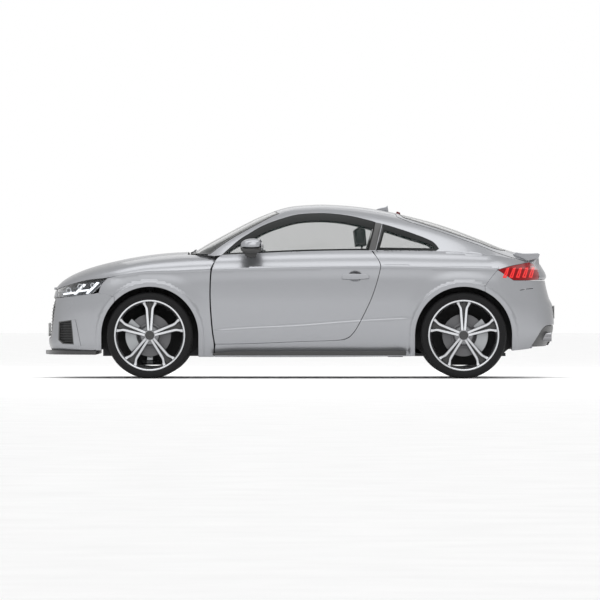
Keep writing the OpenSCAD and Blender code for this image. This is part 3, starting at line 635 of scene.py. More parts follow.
def outward(points, faces):
    """Turns every face of a closed mesh the right way round"""
    bm = bmesh.new()
    vs = [bm.verts.new(p) for p in points]
    for f in faces:
        bm.faces.new([vs[i] for i in f])
    bmesh.ops.recalc_face_normals(bm, faces=bm.faces)
    bm.verts.index_update()
    out = [tuple(v.index for v in f.verts) for f in bm.faces]
    bm.free()
    return out


def extrude(outline, low, high, bevel=3.0):
    """A closed slab from a flat outline, along +Z, with bevelled edges"""
    p = np.array(outline, float)
    inner = shift(p, -bevel)
    rings = [(inner, low), (p, low + bevel), (p, high - bevel), (inner, high)]
    n = len(p)
    points = np.concatenate([np.concatenate([r, np.full((n, 1), z)], 1) for r, z in rings])
    faces = [tuple(range(n))[::-1], tuple(3 * n + i for i in range(n))]
    for k in range(3):
        for i in range(n):
            j = (i + 1) % n
            faces.append((k * n + i, k * n + j, (k + 1) * n + j, (k + 1) * n + i))
    return points, faces


def side_slab(name, outline, y0, y1, material, bevel=4.0, auto=True):
    """A slab whose outline is drawn in side view, between two distances from the centre line"""
    points, faces = extrude(outline, min(y0, y1), max(y0, y1), bevel)
    points = np.stack([points[:, 0], points[:, 2], points[:, 1]], 1)
    return finish_hard(mesh_object(name, points, outward(points, faces), material), 40 if auto else 180)


def finish_hard(obj, angle=35):
    """Smooth shading that keeps edges sharper than an angle"""
    bpy.context.view_layer.objects.active = obj
    for o in bpy.context.selected_objects:
        o.select_set(False)
    obj.select_set(True)
    bpy.ops.object.shade_smooth_by_angle(angle=math.radians(angle))
    return obj


def tube(name, path, radius, material, n=10, closed=False):
    """A round bar that follows a path of points"""
    p = np.array(path, float)
    k = len(p)
    points, faces = [], []
    for i in range(k):
        a = p[(i - 1) % k] if closed or i else p[i]
        b = p[(i + 1) % k] if closed or i < k - 1 else p[i]
        d = Vector(b - a).normalized()
        u = d.orthogonal().normalized() if abs(d.z) > 0.95 else d.cross(Vector((0, 0, 1))).normalized()
        v = d.cross(u)
        r = radius[i] if hasattr(radius, "__len__") else radius
        for j in range(n):
            t = 2 * math.pi * j / n
            points.append(np.array(p[i]) + np.array(u) * r * math.cos(t) + np.array(v) * r * math.sin(t))
    for i in range(k if closed else k - 1):
        for j in range(n):
            a, b = i * n + j, i * n + (j + 1) % n
            c, d = (i + 1) % k * n + (j + 1) % n, (i + 1) % k * n + j
            faces.append((a, b, c, d))
    if not closed:
        faces += [tuple(range(n))[::-1], tuple((k - 1) * n + j for j in range(n))]
    return mesh_object(name, points, outward(points, faces), material)


def merge(name, objs):
    """Joins objects into one and names it"""
    for o in bpy.context.selected_objects:
        o.select_set(False)
    for o in objs:
        o.select_set(True)
    bpy.context.view_layer.objects.active = objs[0]
    bpy.ops.object.join()
    objs[0].name = name
    return objs[0]


# ---------------------------------------------------------------- materials
def material(name, colour, metallic=0.0, rough=0.5, coat=0.0, grain=40.0, vary=0.12, bump=0.0, glow=0.0,
             clear=0.0, tint=0.1, ior=1.45, edge=1.0, alpha=1.0):
    """A finish with fine procedural variation in its colour, roughness and surface"""
    if name in bpy.data.materials:
        return bpy.data.materials[name]
    m = bpy.data.materials.new(name)
    m.use_nodes = True
    nodes, links = m.node_tree.nodes, m.node_tree.links
    shader = nodes["Principled BSDF"]
    shader.inputs["Metallic"].default_value = metallic
    shader.inputs["Coat Weight"].default_value = coat
    shader.inputs["Coat Roughness"].default_value = 0.03
    shader.inputs["Transmission Weight"].default_value = clear
    shader.inputs["IOR"].default_value = ior
    shader.inputs["Alpha"].default_value = alpha
    shader.inputs["Specular Tint"].default_value = (edge, edge, edge, 1)
    if glow:
        shader.inputs["Emission Color"].default_value = (*colour, 1)
        shader.inputs["Emission Strength"].default_value = glow
    where = nodes.new("ShaderNodeTexCoord")
    noise = nodes.new("ShaderNodeTexNoise")
    noise.inputs["Scale"].default_value = grain
    noise.inputs["Detail"].default_value = 4.0
    links.new(where.outputs["Object"], noise.inputs["Vector"])
    shade = nodes.new("ShaderNodeValToRGB")
    dark = [max(c * (1 - tint), 0) for c in colour]
    shade.color_ramp.elements[0].color = (*dark, 1)
    shade.color_ramp.elements[1].color = (*[min(c * (1 + tint), 1) for c in colour], 1)
    links.new(noise.outputs["Fac"], shade.inputs["Fac"])
    links.new(shade.outputs["Color"], shader.inputs["Base Color"])
    spread = nodes.new("ShaderNodeMapRange")
    spread.inputs["To Min"].default_value = max(rough * (1 - vary), 0.0)
    spread.inputs["To Max"].default_value = min(rough * (1 + vary), 1.0)
    links.new(noise.outputs["Fac"], spread.inputs["Value"])
    links.new(spread.outputs["Result"], shader.inputs["Roughness"])
    if bump:
        relief = nodes.new("ShaderNodeBump")
        relief.inputs["Strength"].default_value = bump
        relief.inputs["Distance"].default_value = 0.001
        links.new(noise.outputs["Fac"], relief.inputs["Height"])
        links.new(relief.outputs["Normal"], shader.inputs["Normal"])
    return m


def paint():
    return material("silver_paint", tuple(settings().paint), 0.85, 0.32, 0.3, 900, 0.1, 0.0, tint=0.05,
                    edge=0.45)


def black():
    return material("black_trim", (0.012, 0.012, 0.013), 0.0, 0.34, 0.1, 260, 0.2, 0.1, edge=0.4)


def matt():
    return material("matt_plastic", (0.012, 0.012, 0.0125), 0.0, 0.62, 0.0, 420, 0.2, 0.25, edge=0.4)


def glass():
    return material("tinted_glass", tuple(settings().glass), 0.0, 0.02, 0.0, 3, 0.1, tint=0.02,
                    alpha=0.17)


def screen_glass():
    return material("screen_glass", (0.012, 0.015, 0.014), 0.0, 0.04, 0.0, 3, 0.1, tint=0.02, edge=0.35,
                    alpha=0.82)


# Near-black and almost unreflective: the black window seals, and painted shade where the bands deepen along the tops of
# the side windows.
def window_band():
    return material("window_band", (0.007, 0.008, 0.008), 0.0, 0.5, 0.0, 260, 0.2, 0.1, edge=0.12)


def rubber():
    return material("rubber", tuple(settings().rubber), 0.0, 0.72, 0.0, 180, 0.15, 0.3, edge=0.35)


def leather():
    return material("leather", tuple(settings().leather), 0.0, 0.48, 0.0, 160, 0.2, 0.5, edge=0.4)


def metal():
    return material("bare_metal", (0.42, 0.42, 0.43), 1.0, 0.30, 0.0, 120, 0.25, 0.1)


def chrome():
    return material("polished_metal", (0.72, 0.72, 0.73), 1.0, 0.09, 0.0, 60, 0.3)


def disc_steel():
    return material("disc_steel", (0.13, 0.13, 0.135), 0.8, 0.42, 0.0, 120, 0.25, 0.1)


def bright_rim():
    return material("machined_rim", (0.58, 0.59, 0.61), 1.0, 0.20, 0.5, 300, 0.2, 0.05)


def dark_rim():
    return material("dark_rim", (0.20, 0.203, 0.21), 0.85, 0.36, 0.2, 500, 0.15, edge=0.5)


def cabin():
    return material("cabin_plastic", (0.025, 0.025, 0.027), 0.0, 0.6, 0.0, 380, 0.2, 0.4)


# ---------------------------------------------------------------- body panels
def cuts(points, by):
    """A smooth outline moved out by a small distance, or in by a large one without folding its corners"""
    return smooth(shift(points, by)) if by < -8 else shift(smooth(points), by)


def drooped(points, by, drop):
    """An outline moved in by a distance, with its top edge lowered further"""
    p = shift(points, by)
    p[:, 1] -= drop * ease((p[:, 1] - 1030) / 120)
    return smooth(p)


def front_loop(points):
    """Outline given as (distance from the centre line, height) on the nose"""
    p = smooth(points, 6.0)
    return np.stack([SURFACES["side"].from_end(p[:, 0], p[:, 1], "nose"), p[:, 1]], 1)


def rear_loop(points):
    p = smooth(points, 6.0)
    return np.stack([SURFACES["side"].from_end(p[:, 0], p[:, 1], "tail"), p[:, 1]], 1)


class COUPE_OT_sides(bpy.types.Operator):
    """Builds the quarter panels with sills, pillars and cant rails, and the front wings"""
    bl_idname = "coupe.sides"
    bl_label = "Body sides and wings"

    def execute(self, context):
        g = settings().gap * 500
        silver = paint()
        belt = np.array([(x, float(belt_z(x))) for x in np.arange(-700, 1900, 9.0)])

        def side(name):
            sill = np.array([(x, float(sill_z(x))) for x in np.arange(-681, 1950, 9.0)])
            under = np.concatenate([sill, [(1950, 60), (-700, 60)]])
            over = np.concatenate([belt, [(1900, 1300), (-700, 1300)]])
            lower = sheet("side", [smooth(SILL)], [arch(REAR_AXLE, ARCH_R), cuts(REAR_BUMPER, g),
                                                   cuts(TAIL_LAMP, g), cuts(TAILGATE, g), under, over])
            rail = [(-730, 960), (-730, 1000), (-214, 1460), (800, 1460), (1850, 1060), (1850, 700), (574, 700),
                    (574, 1010), (-540, 1000), (-590, 940)]
            upper = sheet("house", [smooth(rail, 9, 5)], [cuts(DOOR_WINDOW, g + 1), cuts(QUARTER_WINDOW, g),
                          cuts(WINDSCREEN, g), cuts(ROOF, g * 0.5), cuts(TAILGATE, g), cuts(DOOR, g), shift(PILLAR, 2),
                          smooth([(-2000, 500), (-640, 500), (-640, 955), (-712, 980), (-2000, 980)])])
            return panel(name, [lower, upper], silver)

        pair("quarter_panel", side, "chassis", ["body_side_left", "body_side_right"])

        def pillar(name):
            return panel(name, [sheet("house", [shift(PILLAR, 1.5)], spacing=14)], black(), depth=20, sink=1)

        for obj in pair("pillar_trim", pillar, "chassis"):
            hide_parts("window_frame_" + obj.name.rsplit("_", 1)[1])

        def wing(name):
            sill = np.array([(x, float(sill_z(x))) for x in np.arange(-1500, -670, 9.0)]
                            + [(-670, 60), (-1500, 60)])
            return panel(name, [sheet("side", [cuts(FENDER, -g)], [arch(FRONT_AXLE, ARCH_R), sill])], silver)

        pair("front_wing", wing, "chassis")
        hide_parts("front_fenders")
        return {"FINISHED"}


class COUPE_OT_roof(bpy.types.Operator):
    """Builds the roof panel"""
    bl_idname = "coupe.roof"
    bl_label = "Roof"

    def execute(self, context):
        g = settings().gap * 500
        roof = panel("roof", [sheet("house", [cuts(ROOF, -g * 0.5)])], paint(), centre=True)
        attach(roof, "chassis")
        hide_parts("roof_panel")
        return {"FINISHED"}


SCREEN_FOOT = [(-892, 0), (-886, 455), (-868, 620), (-818, 742), (-724, 804), (-640, 820), (-600, 820)]


def plan_line(points):
    """A line drawn in plan on the bonnet's dome, as (x, z) points"""
    points = np.array(points, float)
    run = np.concatenate([[0], np.cumsum(np.hypot(*np.diff(points, axis=0).T))])
    at = np.arange(0, run[-1], 12.0)
    dome, out = SURFACES["bonnet"], []
    for x, y in zip(np.interp(at, run, points[:, 0]), np.interp(at, run, points[:, 1])):
        wide, high = dome.section(x, dome.steps)
        out.append((x, np.interp(y, wide[::-1], high[::-1])))
    return np.array(out)


class COUPE_OT_bonnet(bpy.types.Operator):
    """Builds the clamshell bonnet"""
    bl_idname = "coupe.bonnet"
    bl_label = "Bonnet"

    def execute(self, context):
        g = settings().gap * 500
        foot = plan_line(SCREEN_FOOT)
        ahead = np.concatenate([foot + (-g, -g), [(-560, 500), (-2100, 500), (-2100, 1200), (-892, 1200)]])
        behind = np.concatenate([foot + (g, g), [(-560, 1200), (-880, 1200)]])
        lid = panel("bonnet_skin", [sheet("bonnet", [cuts(BONNET, -g)], [behind])], paint(), centre=True)
        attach(lid, "bonnet_body")
        corner_panel = panel("screen_corners", [sheet("bonnet", [cuts(BONNET, -g)], [ahead], spacing=14)], paint(),
                             centre=True, depth=8)
        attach(corner_panel, "chassis")
        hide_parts("bonnet")
        return {"FINISHED"}


HANDLE = (440, 812)


def oval(x, z, wide, tall, n=60):
    return (circle(0, 0, 1, n) * (wide, tall)) + (x, z)


class COUPE_OT_doors(bpy.types.Operator):
    """Builds the two doors with their inner cards"""
    bl_idname = "coupe.doors"
    bl_label = "Doors"

    def execute(self, context):
        g = settings().gap * 500

        def door(name):
            x, z = HANDLE
            skin = panel(name, [sheet("side", [smooth(DOOR)], [oval(x, z, 54, 42)])], paint(), depth=22)
            n, rings = 60, 8
            loops = [oval(x, z, 54 * math.cos(a), 42 * math.cos(a), n) for a in np.linspace(0, 1.45, rings)]
            flat = np.concatenate(loops)
            deep = np.repeat(24 * np.sin(np.linspace(0, 1.45, rings)) ** 1.4, n)
            points = np.stack([flat[:, 0], deep - side_y(flat[:, 0], flat[:, 1]), flat[:, 1]], 1)
            tris = [t for k in range(rings - 1) for i in range(n) for t in (
                (k * n + i, k * n + (i + 1) % n, (k + 1) * n + i),
                (k * n + (i + 1) % n, (k + 1) * n + (i + 1) % n, (k + 1) * n + i))]
            tris += [((rings - 1) * n, (rings - 1) * n + i, (rings - 1) * n + i + 1) for i in range(1, n - 1)]
            dish = panel(name + "_dish", [(points, np.array(tris))], paint(), depth=3, roll=0.6)
            card = panel(name + "_card", [sheet("side", [cuts(DOOR, -36)], spacing=40)], cabin(), depth=66,
                         roll=4, sink=23)
            return [skin, card, dish]

        made = pair("door_skin", door, ["door_left_body", "door_right_body"])
        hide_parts("door_left")
        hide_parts("door_right")
        return {"FINISHED"}


GRILLE = [(0, 655), (300, 655), (440, 648), (500, 560), (470, 470), (400, 318), (300, 306), (0, 306)]
INTAKE = [(-1922, 452), (-1814, 466), (-1796, 268), (-1888, 271), (-1926, 303)]


class COUPE_OT_front(bpy.types.Operator):
    """Builds the front bumper with its grille, side intakes and splitter"""
    bl_idname = "coupe.front"
    bl_label = "Front end"

    def execute(self, context):
        g = settings().gap * 500
        mouth = front_loop(GRILLE)
        intake = smooth(INTAKE, 8)
        skin = panel("front_bumper_skin", [sheet("side", [cuts(FRONT_BUMPER, -g)],
                     [arch(FRONT_AXLE, ARCH_R), cuts(HEAD_LAMP, g), mouth, intake], origin="nose")],
                     paint(), centre=True)
        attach(skin, "chassis")
        bridge = panel("nose_bridge", [sheet("side", [cuts([(-2100, 646), (-2100, 697), (-1956, 698), (-1940, 700),
                       (-1938, 646)], 0)], [mouth], origin="nose")], paint(), centre=True)
        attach(bridge, "chassis")
        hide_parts("front_bumper")
        backing = panel("grille_backing", [sheet("side", [mouth], origin="nose", spacing=30)], matt(), centre=True,
                        depth=6, sink=34)
        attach(backing, "chassis")
        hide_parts("grilles")
        rim = panel("grille_frame", [sheet("side", [shift(mouth, 0)], [front_loop([(0, 640), (290, 640), (424, 633),
                    (482, 558), (454, 474), (388, 332), (296, 321), (0, 321)])], origin="nose", spacing=12)],
                    black(), centre=True, depth=26, sink=1.0)
        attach(rim, "chassis")
        bars = []
        for i, z in enumerate(np.arange(346, 640, 26.0)):
            half = np.interp(z, [306, 318, 470, 560, 648], [300, 385, 455, 485, 425])
            y = np.linspace(-half, half, 41)
            x = SURFACES["side"].from_end(y, np.full_like(y, z), "nose") + 14
            bars.append(tube("bar", np.stack([x, y, np.full_like(y, z)], 1), 4.2, black(), 8))
        for y in np.arange(-440, 441, 40.0):
            lo = 330 if abs(y) < 380 else 330 + (abs(y) - 380) * 1.6
            hi = 635 if abs(y) < 430 else 600
            z = np.linspace(lo, hi, 12)
            x = SURFACES["side"].from_end(np.full_like(z, y), z, "nose") + 19
            bars.append(tube("bar", np.stack([x, np.full_like(z, y), z], 1), 3.0, black(), 6))
        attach(merge("grille_bars", bars), "chassis")

        def vent(name):
            back = panel(name, [sheet("side", [intake], spacing=30)], matt(), depth=5, sink=30)
            lip = panel(name + "_lip", [sheet("side", [shift(intake, 5)], [shift(intake, -7)], spacing=10)],
                        black(), depth=24, sink=0.5)
            fins = []
            for k, z in enumerate(np.arange(292, 460, 13.0)):
                x = np.linspace(np.interp(z, [271, 303, 452], [-1885, -1922, -1917]),
                                np.interp(z, [268, 466], [-1802, -1818]), 9)
                y = -side_y(x, np.full_like(x, z))
                fins.append(tube("fin", np.stack([x + 6, y + 12, np.full_like(x, z)], 1), 2.6, black(), 6))
            blade = side_blade(name + "_blade", [(-1812, 462), (-1784, 466), (-1742, 262), (-1788, 256)], 4, 11)
            return [back, lip, merge(name + "_fins", fins), blade]

        pair("side_vent", vent, "chassis")
        z0, z1 = 188, 221.5
        d = np.concatenate([np.linspace(0, 40, 14), np.linspace(48, 388, 28)])
        x = nose_x(222) + d
        y = side_y(x, np.full_like(x, 222)) + 4 * ease(d / 60)
        t = np.clip(1 - d / 520, 0, 1)
        x = x - 32 * t ** 0.7
        x[0] = -2042.5
        outline = np.concatenate([np.stack([x, -y], 1)[::-1], np.stack([x, y], 1)[1:]])
        points, faces = extrude(outline, z0, z1, 5)
        splitter = finish_hard(mesh_object("splitter", points, outward(points, faces), black()), 40)
        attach(splitter, "chassis")
        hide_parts("front_splitter")
        plate_piece("front_plate", -2015.0, -2006.5, 330, 442)
        return {"FINISHED"}


def side_blade(name, outline, out, depth):
    """A strip that stands proud of the body side"""
    return panel(name, [sheet("side", [smooth(outline, 8)], spacing=14)], paint(), depth=depth + out, roll=2.5,
                 sink=-out)


def plate_piece(name, x0, x1, z0, z1):
    """A blank registration plate"""
    p = smooth([(-258, z0 + 2), (258, z0 + 2), (258, z1 - 2), (-258, z1 - 2)], 40)
    outer, faces = extrude(p, x0, x1, 1.0)
    points = np.stack([outer[:, 2], outer[:, 0], outer[:, 1]], 1)
    plate = finish_hard(mesh_object(name, points, outward(points, faces),
                                    material("blank_plate", (0.7, 0.7, 0.69), 0, 0.35, 0.3, 80)), 40)
    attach(plate, "chassis")
    return plate


class COUPE_OT_rear(bpy.types.Operator):
    """Builds the rear bumper, diffuser and exhaust tips"""
    bl_idname = "coupe.rear"
    bl_label = "Rear end"

    def execute(self, context):
        g = settings().gap * 500
        sill = np.array([(x, float(sill_z(x))) for x in np.arange(1460, 2100, 9.0)] + [(2100, 60), (1460, 60)])
        slit = np.array([(1746, 703), (1800, 714), (1858, 719), (1858, 711), (1800, 706), (1750, 697)])
        skin = panel("rear_bumper_skin", [sheet("side", [cuts(REAR_BUMPER, -g)], [arch(REAR_AXLE, ARCH_R), sill, slit],
                     origin="tail")], paint(), centre=True)
        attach(skin, "chassis")
        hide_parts("rear_bumper")
        low = [(1844, 247), (1898, 326), (1938, 389), (1978, 414), (2200, 422), (2200, 262)]
        diffuser = panel("diffuser", [sheet("side", [smooth(low)], [], origin="tail")], black(), centre=True,
                         depth=40, sink=7)
        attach(diffuser, "chassis")
        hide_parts("rear_diffuser")
        fins = []
        for y in (-240, -120, 0, 120, 240):
            fins.append(side_slab("fin", [(1850, 258), (1990, 262), (2012, 300), (2018, 380), (1960, 372),
                                          (1850, 330)], y - 4, y + 4, black(), 1.5))
        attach(merge("diffuser_fins", fins), "chassis")
        tip = material("tip_metal", (0.26, 0.26, 0.27), 1.0, 0.14, 0.0, 60, 0.3)
        pipes = []
        for y in (-530, -430, 430, 530):
            profile = [(37.5, 0), (37.5, 186), (36.5, 190), (34, 190), (33, 186), (33, 20), (1, 18), (1, 0)]
            points, faces, _ = lathe("pipe", profile, 40, None)
            points = np.stack([points[:, 2] + 1818, points[:, 0] + y, points[:, 1] + 330], 1)
            pipes.append(finish_hard(mesh_object("pipe", points, outward(points, faces), tip), 40))
        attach(merge("exhaust_tips", pipes), "chassis")
        box = side_slab("silencer", [(1562, 236), (1800, 246), (1800, 396), (1562, 396)], -556, 556, metal(), 34)
        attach(box, "chassis")
        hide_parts("exhaust")
        plate_piece("rear_plate", 2035.5, 2043.5, 472, 580)
        return {"FINISHED"}


class COUPE_OT_tailgate(bpy.types.Operator):
    """Builds the tailgate with its window and spoiler"""
    bl_idname = "coupe.tailgate"
    bl_label = "Tailgate"

    def execute(self, context):
        g = settings().gap * 500
        s = SURFACES["side"]
        z = np.arange(785.0, 1000, 8)
        wide = np.full_like(z, 600.0)
        edge = np.stack([s.from_end(wide, z, "tail"), z], 1)
        face = np.concatenate([[(2100, 785)], edge[edge[:, 1] < 990], [(2100, 990)]])
        belt = np.array([(x, float(belt_z(x))) for x in np.arange(700, 1838, 9.0)] + [(1838, 1500), (700, 1500)])
        over = np.array([(1500, 990), (2300, 990), (2300, 1500), (1500, 1500)], float)
        lower = sheet("side", [face, cuts(TAILGATE, -g)], [belt, over], origin="tail")
        upper = sheet("house", [np.minimum(cuts(TAILGATE, -g), (1914, 1500))], [cuts(REAR_GLASS, 3)])
        lid = panel("tailgate_skin", [upper, lower], paint(), centre=True, depth=22)
        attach(lid, "tailgate_body")
        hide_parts("tailgate")
        pane = panel("rear_screen", [sheet("house", [cuts(REAR_GLASS, -1)], spacing=26)], screen_glass(), centre=True,
                     depth=5, roll=1, sink=1.9)
        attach(pane, "tailgate_body")
        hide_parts("rear_window")
        band = panel("rear_screen_band", [sheet("house", [cuts(REAR_GLASS, -1.5)], [cuts(REAR_GLASS, -9)])],
                     black(), centre=True, depth=1.2, roll=0.4, sink=0.3)
        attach(band, "tailgate_body")
        wing = [(1694, 988), (1722, 1004), (1778, 995), (1840, 995), (1898, 996), (1913, 988), (1906, 966),
                (1884, 954), (1846, 941), (1790, 930), (1730, 940), (1700, 962)]
        blade = side_slab("spoiler_blade", smooth(wing, 12), -598, 598, paint(), 3)
        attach(blade, "tailgate_body")
        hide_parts("spoiler")
        return {"FINISHED"}


class COUPE_OT_glass(bpy.types.Operator):
    """Builds the windscreen, the side windows, their black seals and the painted shade along the tops of the side
    windows
    """
    bl_idname = "coupe.glass"
    bl_label = "Windows"

    def execute(self, context):
        screen = panel("screen", [sheet("house", [cuts(WINDSCREEN, -1)], spacing=26)], screen_glass(), centre=True,
                       depth=5, roll=1, sink=1.9)
        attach(screen, "chassis")
        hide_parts("windscreen")
        band = panel("screen_band", [sheet("house", [cuts(WINDSCREEN, -1.5)], [cuts(WINDSCREEN, -9)])], black(),
                     centre=True, depth=1.2, roll=0.4, sink=0.3)
        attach(band, "chassis")

        def quarter(name):
            return panel(name, [sheet("house", [cuts(QUARTER_WINDOW, -1)], spacing=26)], glass(), depth=5, roll=1,
                         sink=2.4)

        pair("quarter_pane", quarter, "chassis")
        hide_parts("quarter_windows")

        def door(name):
            return panel(name, [sheet("house", [cuts(DOOR_WINDOW, -1)], spacing=26)], glass(), depth=5, roll=1,
                         sink=2.4)

        pair("door_pane", door, ["door_left_body", "door_right_body"])
        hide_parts("door_window_left")
        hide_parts("door_window_right")

        # Black seal round the quarter window, its inner edge drooped at the top into a deeper band of painted shade
        # under the roof line.
        def quarter_seal_shade(name):
            return panel(name, [sheet("house", [cuts(QUARTER_WINDOW, -0.5)], [drooped(QUARTER_WINDOW, -24, 22)],
                                      spacing=12)], window_band(), depth=1.2, roll=0.4, sink=0.8)

        pair("quarter_band", quarter_seal_shade, "chassis")

        # Black seal round the door window, its inner edge drooped at the top into a deeper band of painted shade under
        # the roof line.
        def door_seal_shade(name):
            return panel(name, [sheet("house", [cuts(DOOR_WINDOW, -0.5)], [drooped(DOOR_WINDOW, -14, 46)], spacing=12)],
                         window_band(), depth=1.2, roll=0.4, sink=0.8)

        pair("door_band", door_seal_shade, ["door_left_body", "door_right_body"])
        return {"FINISHED"}


class COUPE_OT_lamps(bpy.types.Operator):
    """Builds the headlights and the tail lamps"""
    bl_idname = "coupe.lamps"
    bl_label = "Lamps"

    def execute(self, context):
        g = settings().gap * 500
        clear = material("lamp_cover", (0.86, 0.88, 0.90), 0, 0.0, 0.0, 4, 0.1, clear=1.0, tint=0.01, ior=1.3)
        tray = material("lamp_tray", (0.05, 0.052, 0.056), 0.6, 0.35, 0.2, 90, 0.2)
        light = material("lamp_bar", (0.92, 0.93, 0.95), 0, 0.3, 0.0, 90, 0.1, glow=1.1, tint=0.01)
        red = material("red_lens", (0.20, 0.002, 0.004), 0, 0.2, 0.0, 200, 0.1, 0.05, edge=0.35)
        bright = material("red_bar", (0.62, 0.012, 0.012), 0, 0.3, 0.0, 200, 0.1, glow=0.25)

        def head(name):
            shell = panel(name, [sheet("side", [cuts(HEAD_LAMP, -g)])], clear, depth=4, roll=1.5)
            back = panel(name + "_tray", [sheet("side", [cuts(HEAD_LAMP, -g - 2)], spacing=26)], tray, depth=5,
                         roll=1, sink=24)
            bars = []
            for shape in ([(-1728, 757), (-1712, 754), (-1790, 672), (-1808, 670)],
                          [(-1618, 768), (-1600, 768), (-1688, 678), (-1706, 676)],
                          [(-1896, 668), (-1800, 681), (-1800, 690), (-1896, 678)],
                          [(-1786, 690), (-1686, 702), (-1686, 711), (-1786, 699)]):
                bars.append(panel("b", [sheet("side", [smooth(shape, 8)], spacing=14)], light, depth=9, roll=1.5,
                                  sink=14))
            for x, z, r in ((-1848, 706, 22), (-1752, 735, 22), (-1650, 745, 17)):
                if r:
                    bars.append(panel("b", [sheet("side", [circle(x, z, r, 40)], [circle(x, z, r - 5, 40)],
                                                  spacing=6)], chrome(), depth=12, roll=1, sink=11))
            return [shell, back, merge(name + "_bars", bars)]

        pair("headlight", head, "chassis")
        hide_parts("headlights")

        def tail(name):
            shell = panel(name, [sheet("side", [cuts(TAIL_LAMP, -g)])], red, depth=20)
            bars = []
            for k in range(5):
                x = 1610 + k * 52
                shape = [(x, 800 + k), (x + 28, 799), (x + 52, 878 + k), (x + 30, 872 + k * 2)]
                loop = smooth(shape, 8)
                bars.append(panel("b", [sheet("side", [loop], [shift(loop, -9)], spacing=8)], bright, depth=6,
                                  roll=1.2, sink=-1.5))
            return [shell, merge(name + "_bars", bars)]

        pair("tail_lamp", tail, "chassis")
        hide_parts("taillights")
        return {"FINISHED"}


# ---------------------------------------------------------------- wheels
def wheel_place(points, x):
    """Wheel points, with z pointing out of the car, put at the left wheel of an axle"""
    p = np.asarray(points, float)
    return np.stack([p[:, 0] + x, -WHEEL_Y - p[:, 2], p[:, 1] + AXLE_Z], 1)


def wheel_lathe(name, profile, x, finish, n=96, slots=None, wave=None, angle=30):
    points, faces, index = lathe(name, profile, n, None, slots, wave)
    p = wheel_place(points, x)
    return finish_hard(mesh_object(name, p, outward(p, faces), finish, slots=index), angle)


def tread(blocks):
    """Grooves across the shoulders and fine cuts across the middle ribs"""
    def wave(t, z, r):
        phase = (t * blocks / (2 * math.pi) + np.abs(z) / 260) % 1
        across = (phase < 0.17) & (np.abs(z) > 68) & (r > 334)
        fine = (phase > 0.5) & (phase < 0.6) & (np.abs(z) < 60) & (r > 340)
        return np.where(across, -5.5, 0.0) + np.where(fine, -2.5, 0.0)
    return wave


def tyre_profile():
    half = [(343, 8), (343, 17), (336, 18), (336, 26), (343, 27), (342.8, 40), (342.6, 58), (336, 59), (336, 67),
            (342.4, 68), (341.5, 84), (339.5, 98), (335.5, 109), (333, 113), (331, 118.5), (326, 121.5),
            (324, 124.6), (317, 125.6), (306, 125.8), (304.5, 124.8), (297, 123.6), (288, 119.5), (280, 114),
            (273, 111), (268, 104)]
    return half + [(r, -z) for r, z in half[::-1]]


def spoke_arm(offset_in, offset_out):
    """One arm of a forked spoke, pointing along +X, with a thin machined ridge on its top"""
    points, faces, index = [], [], []
    radii = np.linspace(40, 266, 15)
    for r in radii:
        u = (r - 40) / 226
        y = offset_in + (offset_out - offset_in) * u ** 1.1 + math.copysign(20, offset_out) * ease((r - 206) / 58)
        foot = 1 + 0.9 * ease((r - 225) / 42)
        wide, top = 12.5 * foot, 8.0 * foot ** 0.5
        z = 86 + 22 * u ** 0.8 - 3 * ease((r - 240) / 26)
        low = 62 + 6 * u
        for w, h in ((-wide, low), (-wide, z - 15), (-top - 1.2, z - 1.2), (-top, z), (top, z), (top + 1.2, z - 1.2),
                     (wide, z - 15), (wide, low)):
            points.append((r, y + w, h))
    n = 8
    for i in range(len(radii) - 1):
        for j in range(n):
            k = (j + 1) % n
            faces.append((i * n + j, i * n + k, (i + 1) * n + k, (i + 1) * n + j))
            index.append(1 if j in (2, 3, 4) else 0)
    last = (len(radii) - 1) * n
    faces += [tuple(range(n)), tuple(last + j for j in range(n))]
    return np.array(points), faces, index + [0, 0]


def turned(points, angle):
    c, s = math.cos(angle), math.sin(angle)
    return np.stack([points[:, 0] * c - points[:, 1] * s, points[:, 0] * s + points[:, 1] * c, points[:, 2]], 1)


